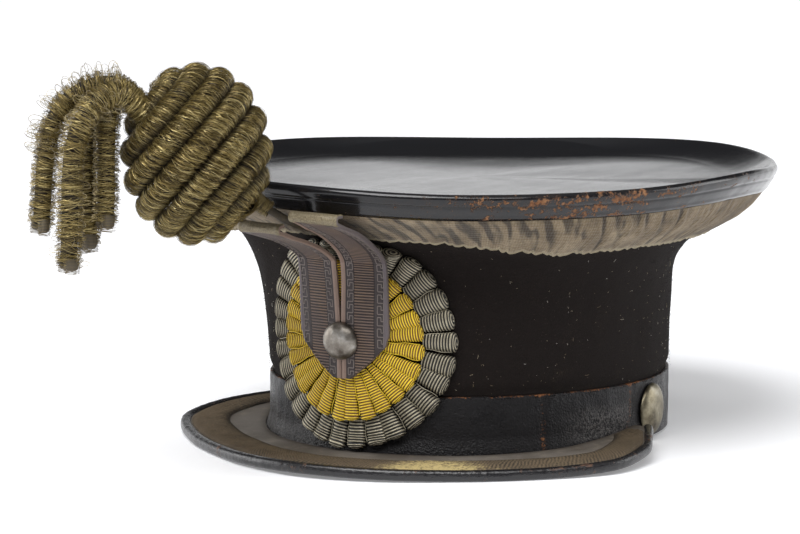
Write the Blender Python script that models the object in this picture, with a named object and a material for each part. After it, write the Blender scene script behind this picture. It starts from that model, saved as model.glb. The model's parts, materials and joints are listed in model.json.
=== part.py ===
# A bell-topped officer's shako of the 1830s or 1840s, resting on a flat surface.
# Felt body, lacquered leather crown top, base band and visor, faded braid, a pleated
# cockade under a doubled braid loop, and a pompom wound from wire bullion with a fringe.
# Metres, +Z up. The wearer faces -Y, and the wearer's left is +X.
# The hat is modelled upright on its base, then pitched back onto its visor's edge.

import math

import bmesh
import bpy
import numpy as np
from mathutils import Vector

# Head opening, body and crown
BASE_HALF_LENGTH = 0.100        # outside of the base band, centre to front
BASE_HALF_WIDTH = 0.086         # outside of the base band, centre to side
CROWN_HEIGHT = 0.119            # base to the top of the rim
RIM_OVERHANG = 0.0473           # rim beyond the base band, all round
RIM_BAND_HEIGHT = 0.0114        # turned-down edge of the crown top
RIM_ROLL = 0.0022               # radius of the rolled edge
RIM_WAVE = 0.0022               # highest lift of the warped rim
DISH_DEPTH = 0.0065             # the top's floor below its rim
DISH_SLOPE = 0.0110             # width of the slope inside the rim
CROWN_WALL = 0.0020
FELT_WALL = 0.0020
GAP = 0.0003                    # between pieces that lie on each other

# Base band
BAND_HEIGHT = 0.0260
BAND_WALL = 0.0014
BAND_EDGE = 0.0005              # rounding of its upper edge
FOOT_SPREAD = 0.0016            # how far its lower edge turns out over the visor
FOOT_HEIGHT = 0.0090
FELT_EASE = 0.0060              # height over which the felt swells out above the band

# Braid under the rim
BRAID_DEPTH = 0.0180            # below the rim band at the sides and back, measured upright
BRAID_DEPTH_FRONT = 0.0130
BRAID_WALL = 0.0009

# Visor
VISOR_WIDTH = 0.041             # at the front, from the base band to the edge
VISOR_DROP = 0.0048             # lowest point of the edge below the base
VISOR_RISE = 0.0050             # root of the visor above the base at the temples
VISOR_WALL = 0.0024
VISOR_END = 88.0                # bearing of each end, degrees from the front
BINDING_HEIGHT = 0.0050
BINDING_DEPTH = 0.0050
BINDING_WALL = 0.0010
VISOR_BRAID_WIDTH = 0.0170
VISOR_STEPS = 28                # facets along the visor
VISOR_BRAID_WALL = 0.0008
VISOR_MARGIN = 0.0020           # bare leather left between the braid and the base band

# Cockade: a dark pleated ring with a yellow one over its inner half
COCKADE_RADIUS = 0.0488
COCKADE_CENTRE = 0.0503         # height of the centre above the base
INNER_RADIUS = 0.0360
HOLE_RADIUS = 0.0150
OUTER_PLEATS = 30
INNER_PLEATS = 28
PLEAT_NOTCH = 0.0034            # depth of the notches between pleat ends
OUTER_THICKNESS = 0.0050
INNER_THICKNESS = 0.0034
BUTTON_RADIUS = 0.0085
BUTTON_RISE = 0.0048

# Doubled braid loop over the cockade
LOOP_WIDTH = 0.0225             # each half
LOOP_WALL = 0.0012
LOOP_TAIL = 0.0167              # pointed end below the button
LOOP_STRAIGHT = 0.0370          # upright run above the button
LOOP_SPREAD = 0.0045            # half the gap between the halves at the top
LOOP_EARLY = 0.25               # share of that gap already open where the loop leaves the cockade
LOOP_COLUMNS = 5                # points across a half
LOOP_FLAT_ROWS = 3              # rows up the upright run
LOOP_FREE_ROWS = 7              # rows out to the loose end
LOOP_REACH = {"left": 0.0570, "right": 0.0500}      # loose ends beyond the base band
LOOP_BELOW_RIM = {"left": 0.0130, "right": 0.0200}  # loose ends below the top of the rim

# Domed bosses of the chin strap, one at each temple
BOSS_RADIUS = 0.0115
BOSS_RISE = 0.0042
BOSS_HEIGHT = 0.0125            # centre above the base
BOSS_BEARING = 97.0

# Pompom, wound in turns about a tilted axis, with a fringe at the front pole
POMPOM_HALF_WIDTH = 0.0310
POMPOM_HALF_HEIGHT = 0.0375
POMPOM_AHEAD = 0.0045           # clear space between the rim's front and the pompom
POMPOM_ASIDE = -0.0250          # towards the wearer's right
POMPOM_ABOVE_RIM = 0.0150       # centre above the rim
POMPOM_AXIS = Vector((-0.443, -0.667, 0.599)).normalized()
POMPOM_TURNS = 12
POMPOM_RING = 20                # facets round its axis
TURN_DEPTH = 0.0016             # depth of the groove between turns
POLE_RADIUS = 0.0055            # flat at each pole
STEM_RADIUS = 0.0018
FRINGE_RADIUS = 0.0050
FRINGE_RIPPLE = 0.0006
FRINGE_PITCH = 0.0070

AROUND = 40                     # facets round the hat

# Body profile: height as a share of CROWN_HEIGHT, flare as a share of the felt's reach
FLARE = {
    "height": (0.00, 0.22, 0.38, 0.50, 0.59, 0.64, 0.69, 0.74, 0.78, 0.82, 0.865, 0.904, 0.945, 1.00),
    "front":  (0.00, 0.00, 0.01, 0.033, 0.05, 0.06, 0.078, 0.11, 0.19, 0.38, 0.65, 0.86, 0.945, 1.00),
    "side":   (0.00, 0.00, 0.03, 0.065, 0.11, 0.155, 0.22, 0.31, 0.47, 0.64, 0.79, 0.88, 0.945, 1.00),
    "back":   (0.00, 0.00, 0.00, 0.012, 0.022, 0.05, 0.13, 0.28, 0.47, 0.65, 0.79, 0.88, 0.945, 1.00),
}
FRONT_BLEND = (22.0, 55.0)      # bearings between which the front profile turns into the side's
BACK_BLEND = (70.0, 115.0)      # and the side's into the back's

# Heights of the felt's rows below the braid and under it, as shares of CROWN_HEIGHT
FELT_ROWS = (0.45, 0.58, 0.67, 0.74)
BRAID_ROWS = (0.820, 0.865)

# Warp of the rim: bearing from the front towards the wearer's left, lift as a share of RIM_WAVE
WARP = {
    "bearing": (0, 30, 60, 95, 120, 155, 210, 255, 300, 350),
    "lift": (0.4, -0.5, -0.2, 0.9, 0.1, 0.8, -1.0, 0.0, 0.1, 0.6),
}

# Visor: width as a share of VISOR_WIDTH, edge as a share of VISOR_DROP, root of VISOR_RISE
VISOR = {
    "bearing": (0, 15, 30, 45, 60, 72, 80, 88),
    "width": (1.00, 0.94, 0.87, 0.91, 1.00, 0.79, 0.49, 0.24),
    "edge": (-0.83, -0.93, -1.00, -0.90, -0.50, 0.10, 0.50, 0.68),
    "root": (-0.28, -0.28, -0.28, -0.20, 0.00, 0.40, 0.70, 0.95),
}

# Half of the loop below its straight run: distance from the button as a share of LOOP_TAIL,
# outer edge as a share of LOOP_WIDTH
LOOP_POINT = {
    "down": (1.0, 0.55, 0.10, -0.25),
    "outer": (0.20, 0.60, 0.92, 1.00),
}

# Fringe strands from the pompom's centre: out along the axis's own bearing, aside towards the
# wearer's left, up; all as shares of POMPOM_HALF_WIDTH. Each starts at the front pole.
STRANDS = {
    "near": ((1.02, -0.08, 0.86), (1.17, -0.11, 0.74), (1.22, -0.12, 0.40), (1.23, -0.13, -0.20),
             (1.23, -0.13, -0.58), (1.26, -0.10, -0.86)),
    "middle": ((1.10, 0.00, 0.82), (1.45, 0.08, 0.72), (1.73, 0.13, 0.36), (1.83, 0.14, -0.15),
               (1.84, 0.14, -0.80), (1.86, 0.14, -1.40)),
    "far": ((1.08, -0.12, 0.92), (1.48, -0.25, 0.88), (1.84, -0.33, 0.55), (1.99, -0.35, 0.00),
            (2.03, -0.36, -0.50), (2.06, -0.36, -0.92)),
    "back": ((0.98, -0.20, 0.86), (1.20, -0.40, 0.68), (1.34, -0.50, 0.30), (1.36, -0.50, -0.30),
             (1.37, -0.46, -0.80), (1.40, -0.38, -1.18)),
}

MATERIALS = {
    "crown_top": ((0.030, 0.030, 0.034), 0.28, 0.0),
    "felt_body": ((0.028, 0.021, 0.018), 0.95, 0.0),
    "rim_braid": ((0.150, 0.120, 0.078), 0.80, 0.0),
    "base_band": ((0.032, 0.030, 0.032), 0.40, 0.0),
    "visor": ((0.110, 0.095, 0.080), 0.55, 0.0),
    "visor_binding": ((0.030, 0.028, 0.028), 0.35, 0.0),
    "visor_braid": ((0.160, 0.120, 0.080), 0.75, 0.0),
    "cockade_outer": ((0.110, 0.105, 0.080), 0.45, 0.6),
    "cockade_inner": ((0.640, 0.430, 0.040), 0.55, 0.0),
    "loop_left": ((0.170, 0.135, 0.120), 0.50, 0.4),
    "loop_right": ((0.170, 0.135, 0.120), 0.50, 0.4),
    "cockade_button": ((0.420, 0.390, 0.340), 0.35, 1.0),
    "boss_left": ((0.340, 0.310, 0.230), 0.40, 1.0),
    "boss_right": ((0.340, 0.310, 0.230), 0.40, 1.0),
    "pompom": ((0.240, 0.190, 0.060), 0.50, 0.5),
    "pompom_fringe": ((0.240, 0.190, 0.060), 0.50, 0.5),
    "pompom_stem": ((0.100, 0.080, 0.050), 0.60, 0.3),
}

FELT_REACH = RIM_OVERHANG - CROWN_WALL - GAP
FELT_TOP = CROWN_HEIGHT - CROWN_WALL - 0.75 * DISH_DEPTH
BRAID_TOP = CROWN_HEIGHT - RIM_BAND_HEIGHT - GAP
BRAID_LAYER = BRAID_WALL + GAP
SLOPE_STEP = 0.0020             # half the height over which a slope is measured
FRONT_RADIUS = BASE_HALF_WIDTH ** 2 / BASE_HALF_LENGTH      # curvature of the base at the front


def smooth_through(xs, ys, x):
    """Value at x of a smooth curve through the points, with no overshoot between them."""
    xs = np.asarray(xs, float)
    ys = np.asarray(ys, float)
    step = np.diff(xs)
    slope = np.diff(ys) / step
    tangent = np.zeros(len(xs))
    product = slope[:-1] * slope[1:]
    total = np.where(product > 0, slope[:-1] + slope[1:], 1.0)
    tangent[1:-1] = np.where(product > 0, 2 * product / total, 0.0)
    tangent[0] = slope[0]
    tangent[-1] = slope[-1]
    i = int(np.clip(np.searchsorted(xs, x) - 1, 0, len(xs) - 2))
    t = min(max((x - xs[i]) / step[i], 0.0), 1.0)
    start = (1 + 2 * t) * (1 - t) ** 2 * ys[i] + t * (1 - t) ** 2 * step[i] * tangent[i]
    end = t * t * (3 - 2 * t) * ys[i + 1] + t * t * (t - 1) * step[i] * tangent[i + 1]
    return start + end


def ease(x, low, high):
    """0 below low, 1 above high, smooth between."""
    t = min(max((x - low) / (high - low), 0.0), 1.0)
    return t * t * (3 - 2 * t)


def mirrored(table, column, bearing):
    """A table of bearings from the front, read on either side of it."""
    xs = table["bearing"]
    ys = table[column]
    xs = [-x for x in xs[:0:-1]] + list(xs)
    ys = list(ys[:0:-1]) + list(ys)
    return smooth_through(xs, ys, bearing)


def turn_of(bearing):
    """The same bearing between -180 and 180 degrees."""
    return (bearing + 180.0) % 360.0 - 180.0


def flare(bearing, z):
    """The felt's reach beyond the base band at a height."""
    share = z / CROWN_HEIGHT
    front, side, back = [smooth_through(FLARE["height"], FLARE[name], share)
                         for name in ("front", "side", "back")]
    off_front = ease(abs(turn_of(bearing)), *FRONT_BLEND)
    off_side = ease(abs(turn_of(bearing)), *BACK_BLEND)
    return FELT_REACH * (front + (side - front) * off_front + (back - side) * off_side)


def braid_bottom(bearing):
    """Height of the braid's lower edge, which hangs lower away from the front."""
    off_front = ease(abs(turn_of(bearing)), *FRONT_BLEND)
    depth = BRAID_DEPTH_FRONT + (BRAID_DEPTH - BRAID_DEPTH_FRONT) * off_front
    return CROWN_HEIGHT - RIM_BAND_HEIGHT - depth


def foot(bearing, z):
    """How far the base band's lower edge turns out, at the front half only."""
    share = 1.0 - ease(abs(turn_of(bearing)), 70.0, 88.0)
    return FOOT_SPREAD * share * (1.0 - ease(z, 0.0, FOOT_HEIGHT))


def warp(bearing, z):
    """Lift of the warped rim, fading out down the body."""
    xs = np.array(WARP["bearing"] + (360 + WARP["bearing"][0], 360 + WARP["bearing"][1]), float)
    ys = np.array(WARP["lift"] + WARP["lift"][:2], float)
    lift = smooth_through(np.concatenate(([-10.0], xs)), np.concatenate(([ys[-3]], ys)), bearing % 360.0)
    return RIM_WAVE * lift * ease(z, 0.6 * CROWN_HEIGHT, CROWN_HEIGHT)


def skin(bearing, z):
    """Outer surface that the cockade, loop and stem lie on: band, felt, then braid."""
    low = braid_bottom(bearing)
    slope = (flare(bearing, z + SLOPE_STEP) - flare(bearing, z - SLOPE_STEP)) / (2 * SLOPE_STEP)
    braid = BRAID_LAYER * math.hypot(1.0, slope) * ease(z, low - 2 * BRAID_LAYER, low)
    return max(flare(bearing, z) + braid, foot(bearing, z))


def ring_point(bearing, out, z):
    """A point beyond the base ellipse by out, square to it."""
    t = math.radians(bearing)
    normal = Vector((math.sin(t) / BASE_HALF_WIDTH, -math.cos(t) / BASE_HALF_LENGTH, 0.0)).normalized()
    point = Vector((BASE_HALF_WIDTH * math.sin(t), -BASE_HALF_LENGTH * math.cos(t), 0.0)) + normal * out
    point.z = z + warp(bearing, z)
    return point


def arc_table():
    """Bearings and their distance round the base ellipse from the front."""
    bearings = np.linspace(-180.0, 180.0, 1441)
    t = np.radians(bearings)
    x = BASE_HALF_WIDTH * np.sin(t)
    y = -BASE_HALF_LENGTH * np.cos(t)
    length = np.concatenate(([0.0], np.cumsum(np.hypot(np.diff(x), np.diff(y)))))
    return bearings, length - length[720]


ARC_BEARINGS, ARC_LENGTHS = arc_table()
CLIMB_HEIGHTS = np.linspace(0.0, CROWN_HEIGHT, 401)
CLIMB_OUT = np.array([skin(0.0, z) for z in CLIMB_HEIGHTS])
CLIMB_LENGTHS = np.concatenate(([0.0], np.cumsum(np.hypot(np.diff(CLIMB_HEIGHTS), np.diff(CLIMB_OUT)))))
CLIMB_LENGTHS = CLIMB_LENGTHS - np.interp(COCKADE_CENTRE, CLIMB_HEIGHTS, CLIMB_LENGTHS)


def profile_at(climb, rise):
    """Reach and height of a point at a distance up the front skin and a rise off it."""
    z = float(np.interp(climb, CLIMB_LENGTHS, CLIMB_HEIGHTS))
    slope = (skin(0.0, z + SLOPE_STEP) - skin(0.0, z - SLOPE_STEP)) / (2 * SLOPE_STEP)
    normal = Vector((1.0, -slope)).normalized()
    return z, rise * normal.x, rise * normal.y


def on_front(side, climb, rise):
    """A point of the front: side to the wearer's left and climb from the cockade's centre."""
    z, out, drop = profile_at(climb, rise)
    reach = skin(0.0, z) + out
    bearing = float(np.interp(side / (1 + reach / FRONT_RADIUS), ARC_LENGTHS, ARC_BEARINGS))
    return ring_point(bearing, skin(bearing, z) + out, z + drop)


def on_band(bearing, side, z, rise):
    """A point off the base band, side to the wearer's left of a bearing."""
    start = float(np.interp(bearing, ARC_BEARINGS, ARC_LENGTHS))
    return ring_point(float(np.interp(start + side, ARC_LENGTHS, ARC_BEARINGS)), rise, z)


def make_material(name):
    colour, roughness, metallic = MATERIALS[name]
    material = bpy.data.materials.new(name)
    material.use_nodes = True
    shader = material.node_tree.nodes["Principled BSDF"]
    shader.inputs["Base Color"].default_value = (*colour, 1.0)
    shader.inputs["Roughness"].default_value = roughness
    shader.inputs["Metallic"].default_value = metallic
    material.diffuse_color = (*colour, 1.0)
    return material


def add_piece(name, mesh, hat):
    piece = bpy.data.objects.new(name, mesh)
    bpy.context.collection.objects.link(piece)
    mesh.materials.append(make_material(name))
    mesh.shade_smooth()
    mesh.set_sharp_from_angle(angle=math.radians(35))
    piece.parent = hat
    return piece


def cap(bm, row):
    """An end section closed by triangles from side to side, so that it needn't be flat."""
    last = len(row) - 1
    for k in range(len(row) // 2 - 1):
        bm.faces.new((row[k], row[k + 1], row[last - k]))
        bm.faces.new((row[k + 1], row[last - k - 1], row[last - k]))


def skinned(name, sections, closed):
    """A closed body over equal sections, joined end to end or capped."""
    bm = bmesh.new()
    rows = [[bm.verts.new(point) for point in section] for section in sections]
    count = len(rows[0])
    pairs = list(zip(rows, rows[1:]))
    if closed:
        pairs.append((rows[-1], rows[0]))
    for row, following in pairs:
        for k in range(count):
            after = (k + 1) % count
            # The same diagonal on every piece, so that pieces that lie on each other stay parallel
            if row[k].co.z < row[after].co.z:
                bm.faces.new((row[k], row[after], following[after]))
                bm.faces.new((row[k], following[after], following[k]))
            else:
                bm.faces.new((row[k], row[after], following[k]))
                bm.faces.new((row[after], following[after], following[k]))
    if not closed:
        cap(bm, rows[0])
        cap(bm, rows[-1])
    bmesh.ops.recalc_face_normals(bm, faces=bm.faces)
    mesh = bpy.data.meshes.new(name)
    bm.to_mesh(mesh)
    bm.free()
    return mesh


def round_the_hat(profile):
    """Sections all round the hat from a function that gives reach and height at a bearing."""
    bearings = [360.0 * k / AROUND for k in range(AROUND)]
    return [[ring_point(bearing, out, z) for out, z in profile(bearing)] for bearing in bearings]


def beside(line, distance):
    """A climbing line of reach and height, moved square to itself; outward is positive."""
    moved = []
    for k, point in enumerate(line):
        along = (line[min(k + 1, len(line) - 1)] - line[max(k - 1, 0)]).normalized()
        moved.append(point + distance * Vector((along.y, -along.x)))
    return moved


def braid_heights(bearing):
    """Heights of the rows that the felt and the braid over it share."""
    low = braid_bottom(bearing)
    shares = [share * CROWN_HEIGHT for share in BRAID_ROWS]
    return [low, 0.5 * (low + shares[0])] + shares + [BRAID_TOP]


def felt_outside(bearing, z):
    """The felt's outer face: tucked in behind the base band, swelling out above it."""
    tuck = (BAND_WALL + GAP) * (1.0 - ease(z, BAND_HEIGHT + GAP, BAND_HEIGHT + FELT_EASE))
    return flare(bearing, z) - tuck


def felt_profile(bearing):
    bottom = BAND_WALL + GAP
    shares = [share * CROWN_HEIGHT for share in FELT_ROWS]
    heights = [bottom, BAND_HEIGHT, BAND_HEIGHT + FELT_EASE] + shares + braid_heights(bearing) + [FELT_TOP]
    outside = [Vector((felt_outside(bearing, z), z)) for z in heights]
    inside = beside(outside, -FELT_WALL)
    inside[0] = Vector((outside[0].x - FELT_WALL, bottom))
    inside[-1].y = min(inside[-1].y, FELT_TOP)
    kept = [p for k, p in enumerate(inside) if k % 2 == 0 or k == len(inside) - 1]
    return [tuple(p) for p in outside] + [tuple(p) for p in reversed(kept)]


def felt_body(hat):
    return add_piece("felt_body", skinned("felt_body", round_the_hat(felt_profile), True), hat)


def crown_rings():
    """Rings from the middle of the top, over the rolled rim, to the middle underneath."""
    bearings = [360.0 * k / AROUND for k in range(AROUND)]
    floor = CROWN_HEIGHT - DISH_DEPTH
    low = CROWN_HEIGHT - RIM_BAND_HEIGHT
    over = RIM_OVERHANG

    def middle(share, z):
        """A ring inside the dish, shrunk towards the middle."""
        edge = over - DISH_SLOPE
        points = [ring_point(b, edge, z) for b in bearings]
        return [Vector((p.x * share, p.y * share, z + (p.z - z) * share)) for p in points]

    def rim(out, z):
        return [ring_point(b, out, z) for b in bearings]

    def band(z, off):
        return [ring_point(b, flare(b, z) + GAP + off, z) for b in bearings]

    under = floor - CROWN_WALL
    mid = FELT_TOP
    return [
        middle(0.06, floor - 0.0008), middle(0.6, floor - 0.0005), middle(1.0, floor),
        rim(over - 0.62 * DISH_SLOPE, floor + 0.25 * DISH_DEPTH),
        rim(over - 1.6 * RIM_ROLL, CROWN_HEIGHT - 0.2 * RIM_ROLL),
        rim(over - RIM_ROLL, CROWN_HEIGHT), rim(over - 0.3 * RIM_ROLL, CROWN_HEIGHT - 0.3 * RIM_ROLL),
        rim(over, CROWN_HEIGHT - RIM_ROLL), band(mid, CROWN_WALL), band(low, CROWN_WALL),
        band(low, 0.0), band(mid, 0.0), rim(over - RIM_ROLL - CROWN_WALL, CROWN_HEIGHT - 1.2 * CROWN_WALL),
        middle(1.0, under), middle(0.06, under - 0.0008),
    ]


def crown_top(hat):
    return add_piece("crown_top", skinned("crown_top", crown_rings(), False), hat)


def braid_profile(bearing):
    line = [Vector((flare(bearing, z), z)) for z in braid_heights(bearing)]
    inside = beside(line, GAP)
    outside = beside(line, GAP + BRAID_WALL)
    return [tuple(p) for p in outside + inside[::-1]]


def rim_braid(hat):
    return add_piece("rim_braid", skinned("rim_braid", round_the_hat(braid_profile), True), hat)


def band_profile(bearing):
    """The band's wall, with its lower edge turned in under the felt."""
    lip = BAND_WALL + GAP + FELT_WALL
    turned = foot(bearing, 0.0)
    return [
        (-lip, 0.0), (0.5 * turned, 0.0), (turned, 0.13 * FOOT_HEIGHT),
        (foot(bearing, 0.5 * FOOT_HEIGHT), 0.5 * FOOT_HEIGHT), (0.0, FOOT_HEIGHT),
        (0.0, BAND_HEIGHT - BAND_EDGE), (-BAND_EDGE, BAND_HEIGHT), (-BAND_WALL, BAND_HEIGHT),
        (-BAND_WALL, BAND_WALL), (-lip, BAND_WALL),
    ]


def base_band(hat):
    return add_piece("base_band", skinned("base_band", round_the_hat(band_profile), True), hat)


def visor_line(bearing):
    """Reach of the visor's edge, bottom of its binding, and reach and bottom of its root."""
    width = VISOR_WIDTH * mirrored(VISOR, "width", bearing)
    edge = VISOR_DROP * mirrored(VISOR, "edge", bearing)
    root = VISOR_RISE * mirrored(VISOR, "root", bearing)
    return width, edge, FOOT_SPREAD * (1.0 - ease(abs(bearing), 70.0, 88.0)) + GAP, root


def visor_surface(bearing, out):
    """Height of the visor's lower face at a reach beyond the base ellipse."""
    width, edge, start, root = visor_line(bearing)
    plate_edge = edge + BINDING_WALL + GAP
    share = (out - start) / (width - BINDING_WALL - GAP - start)
    return root + (plate_edge - root) * share


def fan(section):
    """Sections at even bearings from one end of the visor to the other."""
    bearings = [VISOR_END * (2 * k / VISOR_STEPS - 1) for k in range(VISOR_STEPS + 1)]
    return [[ring_point(b, out, z) for out, z in section(b)] for b in bearings]


def visor_section(bearing):
    width, _, start, _ = visor_line(bearing)
    outs = (start, width - BINDING_WALL - GAP)
    lower = [(out, visor_surface(bearing, out)) for out in outs]
    return lower + [(out, z + VISOR_WALL) for out, z in reversed(lower)]


def binding_section(bearing):
    """A channel of folded leather closed over the visor's edge."""
    width, low, _, _ = visor_line(bearing)
    inner = width - BINDING_DEPTH
    bend = width - BINDING_WALL
    high = low + BINDING_HEIGHT
    chamfer = 0.8 * BINDING_WALL
    return [
        (inner, low), (width - chamfer, low), (width, low + chamfer), (width, high - chamfer),
        (width - chamfer, high), (inner, high), (inner, high - BINDING_WALL + 0.1 * GAP),
        (bend, high - BINDING_WALL + 0.1 * GAP), (bend, low + BINDING_WALL - 0.1 * GAP),
        (inner, low + BINDING_WALL - 0.1 * GAP),
    ]


def visor_braid_section(bearing):
    width, _, start, _ = visor_line(bearing)
    outer = width - BINDING_DEPTH - GAP
    inner = max(outer - VISOR_BRAID_WIDTH, start + VISOR_MARGIN)
    lift = VISOR_WALL + GAP
    lower = [(out, visor_surface(bearing, out) + lift) for out in (inner, outer)]
    return lower + [(out, z + VISOR_BRAID_WALL) for out, z in reversed(lower)]


def visor_pieces(hat):
    add_piece("visor", skinned("visor", fan(visor_section), False), hat)
    add_piece("visor_binding", skinned("visor_binding", fan(binding_section), False), hat)
    # The braid stops one facet short of each end of the visor
    add_piece("visor_braid", skinned("visor_braid", fan(visor_braid_section)[1:-1], False), hat)


def pleated_ring(name, pleats, inner, outer, back, thickness, hat):
    """A ring of rounded pleats with scalloped ends, bent over the front of the body."""
    swell = (0.0, 0.8, 1.0, 0.8)
    sections = []
    for k in range(4 * pleats):
        angle = 2 * math.pi * k / (4 * pleats)
        crest = swell[k % 4]
        tip = outer - PLEAT_NOTCH * (1.0 - crest)
        section = (
            (inner, back), (inner, back + thickness * (0.25 + 0.20 * crest)),
            (outer - 1.3 * PLEAT_NOTCH, back + thickness * (0.45 + 0.55 * crest)),
            (tip, back + thickness * (0.30 + 0.35 * crest)), (tip - 0.25 * PLEAT_NOTCH, back),
        )
        sections.append([on_front(r * math.sin(angle), r * math.cos(angle), rise) for r, rise in section])
    return add_piece(name, skinned(name, sections, True), hat)


OUTER_BACK = GAP + 0.0003       # a little more than the gap, because the facets beneath are flat
INNER_BACK = OUTER_BACK + 0.62 * OUTER_THICKNESS
LOOP_RISE = INNER_BACK + INNER_THICKNESS + GAP


def cockade(hat):
    # The dark ring stays outside the yellow one's pleats, under its outer part
    lap = INNER_RADIUS - 0.5 * PLEAT_NOTCH
    pleated_ring("cockade_outer", OUTER_PLEATS, lap, COCKADE_RADIUS, OUTER_BACK, OUTER_THICKNESS, hat)
    pleated_ring("cockade_inner", INNER_PLEATS, HOLE_RADIUS, INNER_RADIUS, INNER_BACK, INNER_THICKNESS, hat)


def domed(name, radius, rise, lift, place, hat):
    """A round dome from a flat back, placed by a function of side, climb and rise."""
    ring = 16
    profile = (
        (0.90, 0.0), (1.0, 0.12), (0.98, 0.30), (0.80, 0.68), (0.45, 0.93), (0.10, 1.0),
    )
    sections = [[(0.10, 0.0)] * ring] + [[row] * ring for row in profile]
    placed = []
    for section in sections:
        points = []
        for k, (share, height) in enumerate(section):
            angle = 2 * math.pi * k / ring
            side = radius * share * math.sin(angle)
            climb = radius * share * math.cos(angle)
            points.append(place(side, climb, lift + rise * height))
        placed.append(points)
    return add_piece(name, skinned(name, placed, False), hat)


def button(hat):
    lift = LOOP_RISE + LOOP_WALL + GAP
    domed("cockade_button", BUTTON_RADIUS, BUTTON_RISE, lift, on_front, hat)


def bosses(hat):
    for name, side_sign in (("boss_left", 1), ("boss_right", -1)):
        def place(side, climb, rise, sign=side_sign):
            return on_band(sign * BOSS_BEARING, side, BOSS_HEIGHT + climb, rise)
        domed(name, BOSS_RADIUS, BOSS_RISE, GAP, place, hat)


def loop_rows():
    """Rows up the flat part of a half: climb, and the outer edge as a share of LOOP_WIDTH."""
    rows = [(-down * LOOP_TAIL, outer) for down, outer in zip(LOOP_POINT["down"], LOOP_POINT["outer"])]
    start = -LOOP_POINT["down"][-1] * LOOP_TAIL
    for k in range(1, LOOP_FLAT_ROWS + 1):
        rows.append((start + (LOOP_STRAIGHT - start) * k / LOOP_FLAT_ROWS, 1.0))
    return rows


def loop_half(half, sign, hat):
    """One half of the braid loop: flat over the cockade, then out past the rim's edge."""
    rows = loop_rows()
    z, out, drop = profile_at(rows[-1][0], LOOP_RISE)
    bend = Vector((skin(0.0, z) + out, z + drop))
    end = Vector((LOOP_REACH[half], CROWN_HEIGHT - LOOP_BELOW_RIM[half]))

    def across(inner, outer):
        return [inner + (outer - inner) * c / (LOOP_COLUMNS - 1) for c in range(LOOP_COLUMNS)]

    sections = []
    for climb, outer in rows:
        inner = 0.5 * GAP + LOOP_SPREAD * LOOP_EARLY * ease(climb, 0.0, LOOP_STRAIGHT)
        edges = across(inner, LOOP_WIDTH * outer)
        under = [on_front(sign * e, climb, LOOP_RISE) for e in edges]
        over = [on_front(sign * e, climb, LOOP_RISE + LOOP_WALL) for e in reversed(edges)]
        sections.append(under + over)
    # The run out to the loose end, curving from upright to its slope
    guide = Vector((bend.x + 0.18 * (end.x - bend.x), bend.y + 0.52 * (end.y - bend.y)))
    for k in range(1, LOOP_FREE_ROWS + 1):
        t = k / LOOP_FREE_ROWS
        place = (1 - t) ** 2 * bend + 2 * t * (1 - t) * guide + t * t * end
        along = (2 * (1 - t) * (guide - bend) + 2 * t * (end - guide)).normalized()
        square = Vector((along.y, -along.x))
        inner = 0.5 * GAP + LOOP_SPREAD * (LOOP_EARLY + (1 - LOOP_EARLY) * t)
        edges = across(inner, LOOP_WIDTH + inner * t)
        under = [loop_point(sign * e, place) for e in edges]
        over = [loop_point(sign * e, place + square * LOOP_WALL) for e in reversed(edges)]
        sections.append(under + over)
    name = "loop_" + half
    return add_piece(name, skinned(name, sections, False), hat)


def loop_point(side, place):
    """A point at a reach and height, side to the wearer's left of the front."""
    bearing = float(np.interp(side / (1 + place.x / FRONT_RADIUS), ARC_LENGTHS, ARC_BEARINGS))
    return ring_point(bearing, place.x, place.y)


def pompom_frame():
    """Centre of the pompom, and the two directions square to its axis."""
    ahead = -(BASE_HALF_LENGTH + RIM_OVERHANG + POMPOM_AHEAD + POMPOM_HALF_WIDTH)
    centre = Vector((POMPOM_ASIDE, ahead, CROWN_HEIGHT + POMPOM_ABOVE_RIM))
    across = POMPOM_AXIS.cross(Vector((0, 0, 1))).normalized()
    return centre, across, across.cross(POMPOM_AXIS)


def pompom_point(tilt, turn, shrink):
    """A point of the pompom at an angle from its front pole and round its axis."""
    centre, across, upward = pompom_frame()
    ring = across * math.cos(turn) + upward * math.sin(turn)
    unit = POMPOM_AXIS * math.cos(tilt) + ring * math.sin(tilt)
    wide = POMPOM_HALF_WIDTH - shrink
    tall = POMPOM_HALF_HEIGHT - shrink
    return centre + Vector((unit.x * wide, unit.y * wide, unit.z * tall))


def pompom(hat):
    """An ovoid of rope turns, each a ridge round the tilted axis, flat at both poles."""
    ring = POMPOM_RING
    pole = math.asin(POLE_RADIUS / POMPOM_HALF_WIDTH)
    sections = []
    for k in range(3 * POMPOM_TURNS + 1):
        tilt = pole + (math.pi - 2 * pole) * k / (3 * POMPOM_TURNS)
        shrink = TURN_DEPTH if k % 3 == 0 else 0.0
        sections.append([pompom_point(tilt, 2 * math.pi * j / ring, shrink) for j in range(ring)])
    return add_piece("pompom", skinned("pompom", sections, False), hat)


def pole_point(sign):
    """Middle of the flat at the front (1) or rear (-1) pole."""
    pole = math.asin(POLE_RADIUS / POMPOM_HALF_WIDTH)
    tilt = pole if sign > 0 else math.pi - pole
    ring = [pompom_point(tilt, 2 * math.pi * j / POMPOM_RING, TURN_DEPTH) for j in range(POMPOM_RING)]
    return sum(ring, Vector()) / len(ring)


def pole_normal(sign):
    """Direction square to the flat at a pole, away from the pompom."""
    pole = math.asin(POLE_RADIUS / POMPOM_HALF_WIDTH)
    tilt = pole if sign > 0 else math.pi - pole
    ring = [pompom_point(tilt, 0.5 * math.pi * j, TURN_DEPTH) for j in range(4)]
    normal = (ring[2] - ring[0]).cross(ring[3] - ring[1]).normalized()
    return normal if normal.dot(POMPOM_AXIS) * sign > 0 else -normal


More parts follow.
